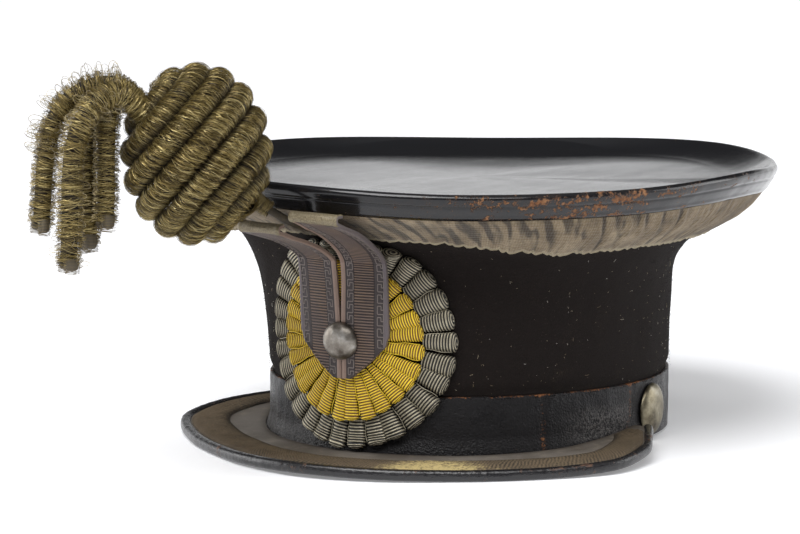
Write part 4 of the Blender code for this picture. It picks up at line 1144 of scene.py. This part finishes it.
def visorFinishes():
    plate = Finish("visorLeather", Roughness=0.55)
    cloud = plate.noise(30, 5, 0.6)
    grain = plate.noise(800, 4, 0.65)
    dust = plate.noise(130, 5, 0.7)
    colour = plate.mix(cloud.between(0.35, 0.65), (0.098, 0.082, 0.066), (0.172, 0.152, 0.132))
    colour = plate.mix(dust.between(0.52, 0.68) * 0.6, colour, (0.245, 0.215, 0.170))
    # painted shade: the plate is darkened next to the band, in the corner where the two meet
    colour = plate.mix(plate.number("root") * 0.75, colour, (0.045, 0.034, 0.024))
    relief = plate.relief(grain, 0.00018)
    relief = plate.relief(cloud, 0.0009, relief)
    plateMaterial = plate.set(Base_Color=colour, Normal=relief)

    braid = Finish("visorBraidThread", Roughness=0.78)
    stroke = braid.number("stroke")
    fade = braid.number("fade")
    cloud = braid.noise(60, 5, 0.65)
    fine = braid.noise(1200, 4, 0.75)
    drawn = braid.noise(500, 4, 0.7)
    colour = braid.mix((stroke * 0.7 + cloud * 0.45).between(0.25, 0.85), (0.012, 0.008, 0.004),
                       (0.135, 0.096, 0.056))
    colour = braid.mix(fine.between(0.45, 0.70) * 0.5, colour, (0.205, 0.155, 0.096))
    colour = braid.mix((fade * (drawn * 1.8 - 0.1)).between(0.30, 0.75) * 0.9, colour, (0.52, 0.41, 0.18))
    relief = braid.relief(stroke + fine * 0.5, 0.00030)
    braidMaterial = braid.set(Base_Color=colour, Normal=relief)

    binding = Finish("bindingLeather", IOR=1.55)
    cloud = binding.noise(85, 5, 0.65)
    crack = binding.noise(330, 5, 0.75)
    worn = binding.number("worn")
    gone = (cloud * 0.5 + crack * 0.5 + worn * 0.12).between(0.63, 0.70)
    colour = binding.mix(cloud, (0.006, 0.006, 0.007), (0.022, 0.021, 0.023))
    colour = binding.mix(gone * 0.75, colour, (0.130, 0.062, 0.034))
    speck = (1 - binding.specks(430).between(0.03, 0.10)) * binding.noise(90, 2).between(0.55, 0.66)
    colour = binding.mix(speck * 0.7, colour, (0.36, 0.31, 0.24))
    relief = binding.relief(crack, 0.00025)
    relief = binding.relief(cloud, 0.0010, relief)
    bindingMaterial = binding.set(Base_Color=colour, Roughness=0.13 + 0.24 * cloud + 0.3 * gone,
                                  Normal=relief)
    return plateMaterial, braidMaterial, bindingMaterial


def visorPieces():
    plateFinish, braidFinish, bindingFinish = visorFinishes()

    bearing = np.linspace(-visor["end"], visor["end"], 161)[:, None]
    width, edge, start, root = visorLine(bearing)
    share = np.linspace(0, 1, 30)[None]
    out = start + (width - 0.0013 - start) * share
    low = visorHeight(bearing, out)
    swell = 0.00022 * wander(bearing / 40, share * 1.2, 61) * np.sin(np.pi * share)
    pile = Pile()
    over = ringPoints(bearing, out, low + visor["wall"] + swell)
    under = ringPoints(bearing, out, low)
    # the root number darkens the plate in a narrow strip next to the band: painted shade in the corner
    near = np.exp(-((out - start) / 0.0022) ** 2)
    pile.addGrid(over, root=near)
    pile.addGrid(under, flip=True, root=0.4)
    for a, b in ((over[:, 0], under[:, 0]), (under[:, -1], over[:, -1]), (over[0], under[0]),
                 (under[-1], over[-1])):
        pile.addGrid(np.stack((a, b), 1), root=0.3)
    pile.piece("visorLeather", plateFinish, "visor")

    # the binding is a rounded roll over the edge, a little uneven along its length
    pile = Pile()
    bearing = np.linspace(-visor["end"], visor["end"], 461)[:, None]
    width, edge, start, root = visorLine(bearing)
    turn = np.linspace(0, 2 * np.pi, 33)[None]
    halfDepth = 0.5 * visor["bindingDepth"]
    halfHeight = 0.5 * visor["bindingHeight"]
    lump = 1 - 0.06 * (0.5 + 0.5 * wander(bearing / 3.0, turn / 6.28, 62))
    acrossShape = np.sign(np.cos(turn)) * np.abs(np.cos(turn)) ** 0.72
    upShape = np.sign(np.sin(turn)) * np.abs(np.sin(turn)) ** 0.80
    out = width - halfDepth + halfDepth * acrossShape * lump
    up = edge + halfHeight + halfHeight * upShape * lump
    # a stitched groove a little inside the roll
    groove = np.exp(-((turn - 0.60 * np.pi) / 0.10) ** 2)
    up = up - 0.00022 * groove
    worn = 0.5 + 0.5 * wander(bearing / 9, 0 * turn, 63) + 0.3 * np.exp(-((turn - 0.3 * np.pi) / 0.5) ** 2)
    pile.addGrid(ringPoints(bearing, out, up), flip=True, worn=worn)
    for row in (0, -1):
        ring = ringPoints(bearing[row], out[row], up[row])
        middle = ring.mean(0)
        pile.addGrid(np.stack((ring, middle + (ring - middle) * 0.01), 1), worn=0.5)
    pile.piece("visorBinding", bindingFinish, "visor_binding")

    pile = Pile()
    bearing = np.linspace(-visor["braidEnd"], visor["braidEnd"], 901)[:, None]
    width, edge, start, root = visorLine(bearing)
    outer = width - visor["bindingDepth"] - hat["gap"]
    inner = np.maximum(outer - visor["braidWidth"], start + 0.0020)
    inner = np.minimum(inner, outer - 0.0006)
    share = np.linspace(0, 1, 17)[None]
    out = inner + (outer - inner) * share
    length = np.interp(bearing, arcBearings, arcLengths) * 1.38
    slant = length + (out - inner) * 0.55 + 0.0011 * wander(length / 0.03, share, 64)
    stroke = 0.5 + 0.5 * np.cos(2 * np.pi * slant / visor["stroke"]
                                + 1.6 * wander(length / 0.012, share * 0.6, 65))
    edgeFall = 1 - np.abs(2 * share - 1) ** 6
    lift = visor["wall"] + hat["gap"] + (visor["braidWall"] + 0.00025 * stroke
                                         + 0.0002 * wander(length / 0.02, share, 66)) * edgeFall
    low = visorHeight(bearing, out)
    points = ringPoints(bearing, out, low + lift)
    fade = (np.exp(-((bearing - 25) / 13) ** 2) * (0.55 + 0.5 * share)
            + 0.35 * np.exp(-((bearing - 52) / 10) ** 2))
    pile.addGrid(points, stroke=stroke * (1 - (1 - share) ** 7), fade=fade)
    under = ringPoints(bearing, out, low + visor["wall"] + hat["gap"])
    pile.addGrid(under, flip=True, stroke=0.2)
    for column in (0, -1):
        pile.addGrid(np.stack((points[:, column], under[:, column]), 1), stroke=0.1)
    for row in (0, -1):
        pile.addGrid(np.stack((points[row], under[row]), 1), stroke=0.1)
    made = pile.piece("visorBraid", braidFinish, "visor_braid")
    print("visor made")
    return made


# pompom

pompom = {
    "halfWidth": 0.0310,
    "halfHeight": 0.0375,
    "centre": (-0.0250, -0.1828, 0.1340),
    "axis": (-0.443, -0.667, 0.599),
    "winding": (-0.545, -0.331, 0.771),  # the axis that the rope is wound about
    "turns": 7.2,
    "pole": 0.0055,
    "rope": 0.0054,                     # radius of the rope that is wound
    "points": 6000,                     # along the rope
    "wires": 9800,
    "wire": 0.000075,                   # half width of a wire
    # the core colour is also painted on wires deep between the turns and clumps as shade
    "core": (0.012, 0.008, 0.004),
}
pompomAxis = unit(np.array(pompom["axis"]))
poleTilt = math.asin(pompom["pole"] / pompom["halfWidth"])


def pompomPoints(tilt, turn, shrink, axis=pompomAxis):
    # places in the hat's frame, by angle from the front pole and round the axis
    across = unit(np.cross(axis, [0, 0, 1]))
    upward = np.cross(across, axis)
    tilt = np.asarray(tilt)[..., None]
    turn = np.asarray(turn)[..., None]
    ring = across * np.cos(turn) + upward * np.sin(turn)
    way = axis * np.cos(tilt) + ring * np.sin(tilt)
    size = np.array([pompom["halfWidth"], pompom["halfWidth"], pompom["halfHeight"]]) - shrink
    return np.array(pompom["centre"]) + way * size


def bullionFinish():
    finish = Finish("wireBullion")
    tone = finish.number("tone")
    deep = finish.number("deep")
    silvery = finish.number("silvery")
    cloud = finish.noise(55, 3, 0.6)
    colour = finish.ramp(tone * 0.75 + cloud * 0.35, (0.14, (0.036, 0.024, 0.007)),
                         (0.42, (0.150, 0.104, 0.030)),
                         (0.66, (0.300, 0.222, 0.070)), (0.95, (0.560, 0.460, 0.210)))
    # painted shade: wires deep in the grooves between the rope's turns, between the fringe's clumps and
    # inside the coils take the dark core colour
    colour = finish.mix(deep, colour, pompom["core"])
    colour = finish.mix(silvery, colour, (0.40, 0.36, 0.30))
    return finish.set(Base_Color=colour, Metallic=0.55 - 0.5 * deep, Roughness=0.34 + 0.4 * deep)


def ropeFrame(line):
    # along, outward from the middle of the ball, and across, for each point
    along = unit(np.gradient(line, axis=0))
    outward = unit(line - np.array(pompom["centre"]))
    across = unit(np.cross(along, outward))
    return along, np.cross(across, along), across


def pompomBall(finish):
    pile = Pile()
    fine = np.linspace(0, 1, pompom["points"])
    tilt = poleTilt * 1.3 + (math.pi - 2.6 * poleTilt) * fine
    winding = unit(np.array(pompom["winding"]))
    line = pompomPoints(tilt, 2 * math.pi * pompom["turns"] * fine, pompom["rope"], winding)
    length = np.concatenate(([0.0], np.cumsum(np.linalg.norm(np.diff(line, axis=0), axis=1))))
    along, outward, across = ropeFrame(line)

    # the dark core, a tube inside the rope, painted dark so that the gaps between the turns show as shade
    rows = np.linspace(0, pompom["points"] - 1, 600).astype(int)
    turn = (2 * np.pi * np.arange(8) / 8)[None, :, None]
    size = pompom["rope"] * 0.84
    core = line[rows][:, None] + size * (outward[rows][:, None] * np.cos(turn)
                                         + across[rows][:, None] * np.sin(turn))
    pile.addGrid(toWorld(core), close=True, deep=1.0)
    for tiltEnd in (poleTilt, math.pi - poleTilt):
        spread = np.linspace(0.02, 1.5, 5)[:, None]
        ends = pompomPoints(tiltEnd * spread if tiltEnd < 1 else math.pi - (math.pi - tiltEnd) * spread,
                            np.linspace(0, 2 * np.pi, 25)[None], 0.0030, winding)
        pile.addGrid(toWorld(ends), deep=1.0)

    # wires looped over the rope, slanted and uneven, in loose groups
    count = pompom["wires"]
    where = np.sort(chance.uniform(0, length[-1], count))
    row = np.interp(where, length, np.arange(pompom["points"]))
    low = np.clip(row.astype(int), 0, pompom["points"] - 2)
    part = (row - low)[:, None]
    centre = line[low] * (1 - part) + line[low + 1] * part
    steps = 9
    reachAngle = np.radians(chance.uniform(72, 104, count))[:, None]
    angle = np.linspace(-1, 1, steps)[None] * reachAngle + chance.normal(0, 0.10, count)[:, None]
    group = np.sin(2 * np.pi * where / 0.0031 + 1.5 * np.sin(where / 0.017))
    size = pompom["rope"] * (1 + 0.02 * group + chance.normal(0, 0.07, count))[:, None]
    petal = 1 + 0.05 * np.cos(angle * 2.2 + chance.uniform(0, 6.28, count)[:, None])
    size = np.minimum(size * petal, pompom["rope"] * 1.20)[..., None]
    slant = (0.0016 + chance.normal(0, 0.0009, count))[:, None, None]
    lean = chance.normal(0, 0.0004, (count, 1, 1))
    a = angle[..., None]
    lines = centre[:, None] + size * (outward[low][:, None] * np.cos(a) + across[low][:, None] * np.sin(a))
    lines = lines + along[low][:, None] * (slant * np.sin(a) + lean * np.cos(3 * a))
    face = outward[low][:, None] * np.cos(a) + across[low][:, None] * np.sin(a)
    face = unit(face + along[low][:, None] * chance.normal(0, 0.8, (count, 1, 1)))
    tone = np.clip(0.46 + 0.08 * group + chance.normal(0, 0.34, count), 0, 1)
    # painted shade: wires that reach far down the rope's sides are darkened towards the core colour
    pile.addRibbons(toWorld(lines), face @ hatAxes, pompom["wire"], tone=tone,
                    deep=np.clip((abs(angle) - 0.80) / 0.65, 0, 0.95).ravel())
    pile.piece("pompomBall", finish, "pompom")
    print("pompom made")


fringe = {
    "radius": 0.0050,
    "clump": 0.0034,
    "spacing": 0.00009,
    "tip": 0.0029,
    "tipTurns": 12,
    "tipPoints": 330,
    "points": 400,                      # along each strand
}
# strands from the pompom's centre: out along its axis's bearing, aside, up; shares of its half width
strands = {
    "near": ((1.02, -0.08, 0.86), (1.17, -0.11, 0.74), (1.22, -0.12, 0.40), (1.23, -0.13, -0.20),
             (1.23, -0.13, -0.58), (1.26, -0.10, -0.86)),
    "middle": ((1.10, 0.00, 0.82), (1.45, 0.08, 0.72), (1.73, 0.13, 0.36), (1.83, 0.14, -0.15),
               (1.84, 0.14, -0.80), (1.86, 0.14, -1.40)),
    "far": ((1.08, -0.12, 0.92), (1.48, -0.25, 0.88), (1.84, -0.33, 0.55), (1.99, -0.35, 0.00),
            (2.03, -0.36, -0.50), (2.06, -0.36, -0.92)),
    "back": ((0.98, -0.20, 0.86), (1.20, -0.40, 0.68), (1.34, -0.50, 0.30), (1.36, -0.50, -0.30),
             (1.37, -0.46, -0.80), (1.40, -0.38, -1.18)),
}


# loose loops of wire: the strand, the first and last of its points, their reach, how many
looseLoops = (
    ("far", 1, 4, 0.0076, 260),
    ("middle", 4, 6, 0.0064, 40),
    ("back", 1, 3, 0.0064, 90),
    ("near", 1, 3, 0.0062, 120),
    ("middle", 1, 3, 0.0066, 90),
)


def curveThrough(points, count):
    points = np.asarray(points, float)
    ends = np.concatenate((2 * points[:1] - points[1:2], points, 2 * points[-1:] - points[-2:-1]))
    t = np.linspace(0, 1, 24, endpoint=False)[:, None]
    fine = [0.5 * (2 * b + (c - a) * t + (2 * a - 5 * b + 4 * c - d) * t ** 2
                   + (3 * b - a - 3 * c + d) * t ** 3)
            for a, b, c, d in zip(ends, ends[1:], ends[2:], ends[3:])]
    fine = np.concatenate(fine + [points[-1:]])
    length = np.concatenate(([0.0], np.cumsum(np.linalg.norm(np.diff(fine, axis=0), axis=1))))
    wanted = np.linspace(0, length[-1], count)
    return np.stack([np.interp(wanted, length, fine[:, i]) for i in range(3)], 1), length[-1]


def carriedFrames(line):
    # along, and two directions square to it that turn as little as they can
    along = unit(np.gradient(line, axis=0))
    first = np.empty_like(line)
    across = np.cross(along[0], [0.31, -0.22, 0.92])
    for k in range(len(line)):
        across = unit(across - along[k] * (across @ along[k]))
        first[k] = across
    return along, first, np.cross(along, first)


def fringeStrand(pile, key, index):
    bearing = unit(np.array([pompomAxis[0], pompomAxis[1], 0.0]))
    aside = np.array([-bearing[1], bearing[0], 0.0])
    pole = pompomPoints(poleTilt, 0.0, 0.0016)
    centre = np.array(pompom["centre"])
    start = centre + (pole - centre) @ pompomAxis * pompomAxis - pompomAxis * 0.004
    points = [start] + [centre + pompom["halfWidth"] * (bearing * o + aside * s + np.array([0, 0, u]))
                        for o, s, u in strands[key]]
    line, long = curveThrough(points, fringe["points"])
    along, first, second = carriedFrames(line)
    radius = fringe["radius"]

    # the strand's core, painted dark so that the gaps between its wires show as shade
    rows = np.arange(0, fringe["points"], 6)
    turn = (2 * np.pi * np.arange(8) / 8)[None, :, None]
    core = line[rows][:, None] + 0.72 * radius * (first[rows][:, None] * np.cos(turn)
                                                  + second[rows][:, None] * np.sin(turn))
    pile.addGrid(toWorld(core), close=True, deep=1.0)

    count = int(long / fringe["spacing"])
    where = np.sort(chance.uniform(0, long, count))
    row = np.clip((where / long * (fringe["points"] - 1)).astype(int), 0, fringe["points"] - 2)
    steps = 11
    middle = chance.uniform(0, 2 * np.pi, count)[:, None]
    angle = middle + np.linspace(-1, 1, steps)[None] * chance.uniform(1.3, 2.4, count)[:, None]
    clump = np.abs(np.sin(np.pi * (where / fringe["clump"] + 0.25 * np.sin(where / 0.004 + index))))
    size = radius * (0.92 + 0.20 * clump + chance.normal(0, 0.06, count))[:, None]
    bow = np.cos((angle - middle) * 0.8)
    size = (size * (0.86 + 0.18 * bow))[..., None]
    a = angle[..., None]
    face = first[row][:, None] * np.cos(a) + second[row][:, None] * np.sin(a)
    tilt = (0.0020 + chance.normal(0, 0.0012, count))[:, None, None]
    lines = line[row][:, None] + size * face + along[row][:, None] * tilt * (bow[..., None] - 0.5)
    face = unit(face + along[row][:, None] * chance.normal(0.2, 0.5, (count, 1, 1)))
    # painted light and shade: wires on the crest of each clump are lighter, and those between the clumps are
    # darkened towards the core colour
    tone = np.clip(0.28 + 0.42 * clump + chance.normal(0, 0.2, count), 0, 1)
    pile.addRibbons(toWorld(lines), face @ hatAxes, pompom["wire"] * 1.1, tone=tone,
                    deep=np.repeat(np.clip(0.62 - 0.8 * clump, 0, 1), steps))

    # two tight coils close the strand
    sideways = unit(np.cross(along[-1], [0.55, 0.83, 0.0]))
    for sign in (-1, 1):
        tip = fringe["tip"] * chance.uniform(0.92, 1.12)
        base = line[-14] + sign * sideways * 0.0032
        down = unit(along[-1] + sign * sideways * 0.15)
        end = base + down * (0.0050 + 0.0022 * chance.uniform())
        shaft = np.linspace(0, 1, 22)[:, None]
        turns = np.linspace(0, 2 * np.pi, 17)[None]
        ridge = 1 + 0.08 * np.cos(2 * np.pi * shaft * 11)
        shape = np.sqrt(np.clip(1 - ((shaft - 0.62).clip(0) / 0.38) ** 2, 0.0016, 1)) * ridge * tip
        other = np.cross(down, sideways)
        rings = base + (end - base) * shaft[..., None]
        rings = rings + shape[..., None] * (sideways * np.cos(turns)[..., None]
                                            + other * np.sin(turns)[..., None])
        # the coil's inside, painted near the dark core colour as shade behind its wire
        pile.addGrid(toWorld(base + (rings - base) * 0.86), silvery=0.2, tone=0.1, deep=0.9)
        # the wire of the coil, wound over a dark inside, with its end turned in
        pitch = np.linspace(0, 1, fringe["tipPoints"])
        coil = 2 * np.pi * pitch * fringe["tipTurns"]
        close = np.sqrt(np.clip(1 - ((pitch - 0.86) / 0.15) ** 2, 0, 1))
        wide = tip * (1 + chance.normal(0, 0.03, len(pitch))) * np.where(pitch > 0.86, close, 1)
        around = sideways * np.cos(coil)[:, None] + other * np.sin(coil)[:, None]
        wound = base + (end - base) * np.minimum(pitch * 1.08, 1)[:, None] + around * wide[:, None]
        pile.addWires(toWorld(wound)[None], (unit(around + down * 0.3) @ hatAxes)[None], pompom["wire"] * 1.3,
                      tone=0.35, silvery=0.10 + 0.35 * chance.uniform(), deep=0.15)


def openLoops(pile, line, radius, count, silvery):
    # single wide loops of wire that stand away from a strand
    along, first, second = carriedFrames(line)
    for k in range(count):
        row = int(chance.uniform(0, len(line) - 1))
        angle = chance.uniform(0, 2 * math.pi)
        way = first[row] * math.cos(angle) + second[row] * math.sin(angle)
        across = unit(along[row] + 0.5 * chance.normal(size=3))
        long = radius * chance.uniform(0.9, 1.45)
        wide = radius * chance.uniform(0.22, 0.40)
        t = np.linspace(0, 2 * np.pi, 15)[:, None]
        loopLine = (line[row] + way * long * 0.5 * (1 - np.cos(t)) * 1.0
                    + across * wide * np.sin(t) * np.sqrt((1 - np.cos(t)) / 2))
        face = np.repeat(unit(np.cross(way, across))[None], 15, 0)
        pile.addWires(toWorld(loopLine)[None], (face @ hatAxes)[None], pompom["wire"] * 1.3,
                      tone=chance.uniform(0.3, 1),
                      silvery=silvery * chance.uniform(0.3, 1))


def pompomFringe(finish):
    pile = Pile()
    for index, key in enumerate(strands):
        fringeStrand(pile, key, index)
    centre = np.array(pompom["centre"])
    bearing = unit(np.array([pompomAxis[0], pompomAxis[1], 0.0]))
    aside = np.array([-bearing[1], bearing[0], 0.0])
    for key, first, last, radius, count in looseLoops:
        points = [centre + pompom["halfWidth"] * (bearing * o + aside * s + np.array([0, 0, u]))
                  for o, s, u in strands[key][first - 1:last]]
        openLoops(pile, curveThrough(points, 40)[0], radius, count, 0.6)
    # the knot that joins the strands to the ball
    pole = centre + pompomAxis * ((pompomPoints(poleTilt, 0.0, 0.0016) - centre) @ pompomAxis)
    line = pole + pompomAxis * np.linspace(0.0003, 0.0085, 12)[:, None]
    along, first, second = carriedFrames(line)
    turn = np.linspace(0, 2 * np.pi, 17)[None, :, None]
    size = 0.0036 * np.sqrt(np.clip(1 - np.linspace(-0.9, 1, 12) ** 2, 0.01, 1))[:, None, None]
    knot = line[:, None] + size * (first[:, None] * np.cos(turn) + second[:, None] * np.sin(turn))
    pile.addGrid(toWorld(knot), deep=1.0)
    pile.piece("pompomFringe", finish, "pompom_fringe")
    print("fringe made")


def pompomStem(finish):
    pile = Pile()
    climb = np.interp(0.83 * hat["crownHeight"], climbHeights, climbLengths)
    low = toHat(onFront(0.0, climb, 0.0024))
    nextPoint = toHat(onFront(0.0, climb + 0.010, 0.0034))
    under = toHat(ringPoints(0.0, hat["rimOverhang"] + 0.003, hat["crownHeight"] - hat["rimBand"] - 0.0035))
    centre = np.array(pompom["centre"])
    pole = centre + pompomAxis * ((pompomPoints(math.pi - poleTilt, 0.0, 0.0016) - centre) @ pompomAxis)
    top = pole - pompomAxis * 0.0003
    line, long = curveThrough([low, nextPoint, under, top - pompomAxis * 0.006, top], 60)
    pile.addTube(toWorld(line), 0.0018, 10)
    # painted shade: the post is kept nearly black so that it reads as the shade between the ball and the loop
    stem = Finish("stemWire", Metallic=0.5)
    cloud = stem.noise(300, 4, 0.6)
    material = stem.set(Base_Color=stem.ramp(cloud, (0.3, (0.012, 0.009, 0.006)),
                                             (0.7, (0.050, 0.038, 0.020))),
                        Roughness=0.4 + 0.3 * cloud, Normal=stem.relief(cloud, 0.0003))
    pile.piece("pompomStem", material, "pompom_stem")

    # a few turns of bullion wrap the post beside the ball
    pile = Pile()
    line = line[-12:]
    along, first, second = carriedFrames(line)
    count = 420
    row = chance.integers(0, len(line) - 1, count)
    angle = chance.uniform(0, 2 * np.pi, count)[:, None] + np.linspace(-1.6, 1.6, 9)[None]
    size = (0.0034 + chance.normal(0, 0.0003, count))[:, None, None]
    a = angle[..., None]
    face = first[row][:, None] * np.cos(a) + second[row][:, None] * np.sin(a)
    weave = along[row][:, None] * chance.normal(0, 0.0006, (count, 1, 1)) * np.sin(a)
    lines = line[row][:, None] + size * face + weave
    # painted shade: the wrap is darkened a little towards the core colour
    pile.addRibbons(toWorld(lines), face @ hatAxes, pompom["wire"], tone=chance.uniform(0, 0.7, count),
                    deep=0.3)
    pile.piece("stemBullion", finish)
    print("stem made")


# camera, floor and light

view = {
    "azimuth": 30.70,
    "elevation": 8.39,
    "distance": 1.848,
    "target": (0.0, 0.0429, 0.0601),
    "lens": 184.6,
    "shift": (-0.0877, 0.0363),
}
# area lights: azimuth from the camera's side, elevation, distance, width, height, power
lamps = {
    "left": (-104, 14, 1.5, 0.9, 0.8, 7.0),
    "right": (98, 20, 1.5, 0.8, 0.8, 6.0),
    "front": (18, 46, 2.0, 0.9, 0.5, 7.0),
}
sun = {"azimuth": -30, "elevation": 56, "strength": 2.9, "angle": 40}
floorColour = (0.90, 0.905, 0.93)


def direction(azimuth, elevation):
    a = math.radians(azimuth)
    e = math.radians(elevation)
    return np.array([math.sin(a) * math.cos(e), -math.cos(a) * math.cos(e), math.sin(e)])


def makeCamera():
    data = bpy.data.cameras.new("camera")
    data.lens = view["lens"]
    data.sensor_width = 36.0
    data.shift_x, data.shift_y = view["shift"]
    data.clip_end = 20.0
    made = bpy.data.objects.new("camera", data)
    bpy.context.scene.collection.objects.link(made)
    place = np.array(view["target"]) + view["distance"] * direction(view["azimuth"], view["elevation"])
    made.location = [float(x) for x in place]
    made.rotation_euler = (math.radians(90 - view["elevation"]), 0.0, math.radians(view["azimuth"]))
    bpy.context.scene.camera = made


def makeLamps():
    for name, (azimuth, elevation, distance, width, height, power) in lamps.items():
        data = bpy.data.lights.new(name, "AREA")
        data.shape = "RECTANGLE"
        data.size = width
        data.size_y = height
        data.energy = power
        made = bpy.data.objects.new(name, data)
        bpy.context.scene.collection.objects.link(made)
        turn = view["azimuth"] + azimuth
        made.location = [float(x) for x in np.array(view["target"]) + distance * direction(turn, elevation)]
        made.rotation_euler = (math.radians(90 - elevation), 0.0, math.radians(turn))
    data = bpy.data.lights.new("sun", "SUN")
    data.energy = sun["strength"]
    data.angle = math.radians(sun["angle"])
    made = bpy.data.objects.new("sun", data)
    bpy.context.scene.collection.objects.link(made)
    made.rotation_euler = (math.radians(90 - sun["elevation"]), 0.0,
                           math.radians(view["azimuth"] + sun["azimuth"]))


def makeWorld():
    # a white sweep low down behind and beside the hat, dark above it and on the camera's side
    world = bpy.data.worlds.new("studio")
    bpy.context.scene.world = world
    world.use_nodes = True
    sky = Finish(world)
    where = sky.node("TexCoord")
    high = sky.node("SeparateXYZ", None, {"Vector": where}, output=2)
    towards = sky.node("VectorMath", {"operation": "DOT_PRODUCT"},
                       {0: where, 1: tuple(direction(view["azimuth"], 0))}, output=1)
    sweep = (1 - high.between(0.13, 0.30)) * (1 - towards.between(0.05, 0.60))
    above = high.between(0.55, 0.95)
    grey = 0.035 + sweep * 0.98 + above * 0.22
    colour = sky.mix(grey.atMost(1), (0, 0, 0), (0.985, 0.99, 1.0))
    return sky.set(Color=colour)


def makeFloor():
    mesh = bpy.data.meshes.new("floor")
    half = 6.0
    mesh.from_pydata([(-half, -half, 0), (half, -half, 0), (half, half, 0), (-half, half, 0)], [],
                     [(0, 1, 2, 3)])
    floor = bpy.data.objects.new("floor", mesh)
    bpy.context.scene.collection.objects.link(floor)
    finish = Finish("paleFloor", Roughness=0.9, Emission_Color=(0.97, 0.98, 1.0, 1.0), Emission_Strength=0.22)
    soft = finish.noise(0.8, 2, 0.5)
    mesh.materials.append(finish.set(Base_Color=finish.mix(soft, floorColour, (0.91, 0.915, 0.935))))


bpy.context.scene.view_settings.view_transform = "Standard"
makeCamera()
makeWorld()
makeLamps()
makeFloor()
feltBody()
crownTop()
braid = rimBraidPiece()
cockadeRings()
loopHalves()
buttonAndBosses()
baseBand()
peakBraid = visorPieces()
bullion = bullionFinish()
pompomBall(bullion)
pompomFringe(bullion)
pompomStem(bullion)
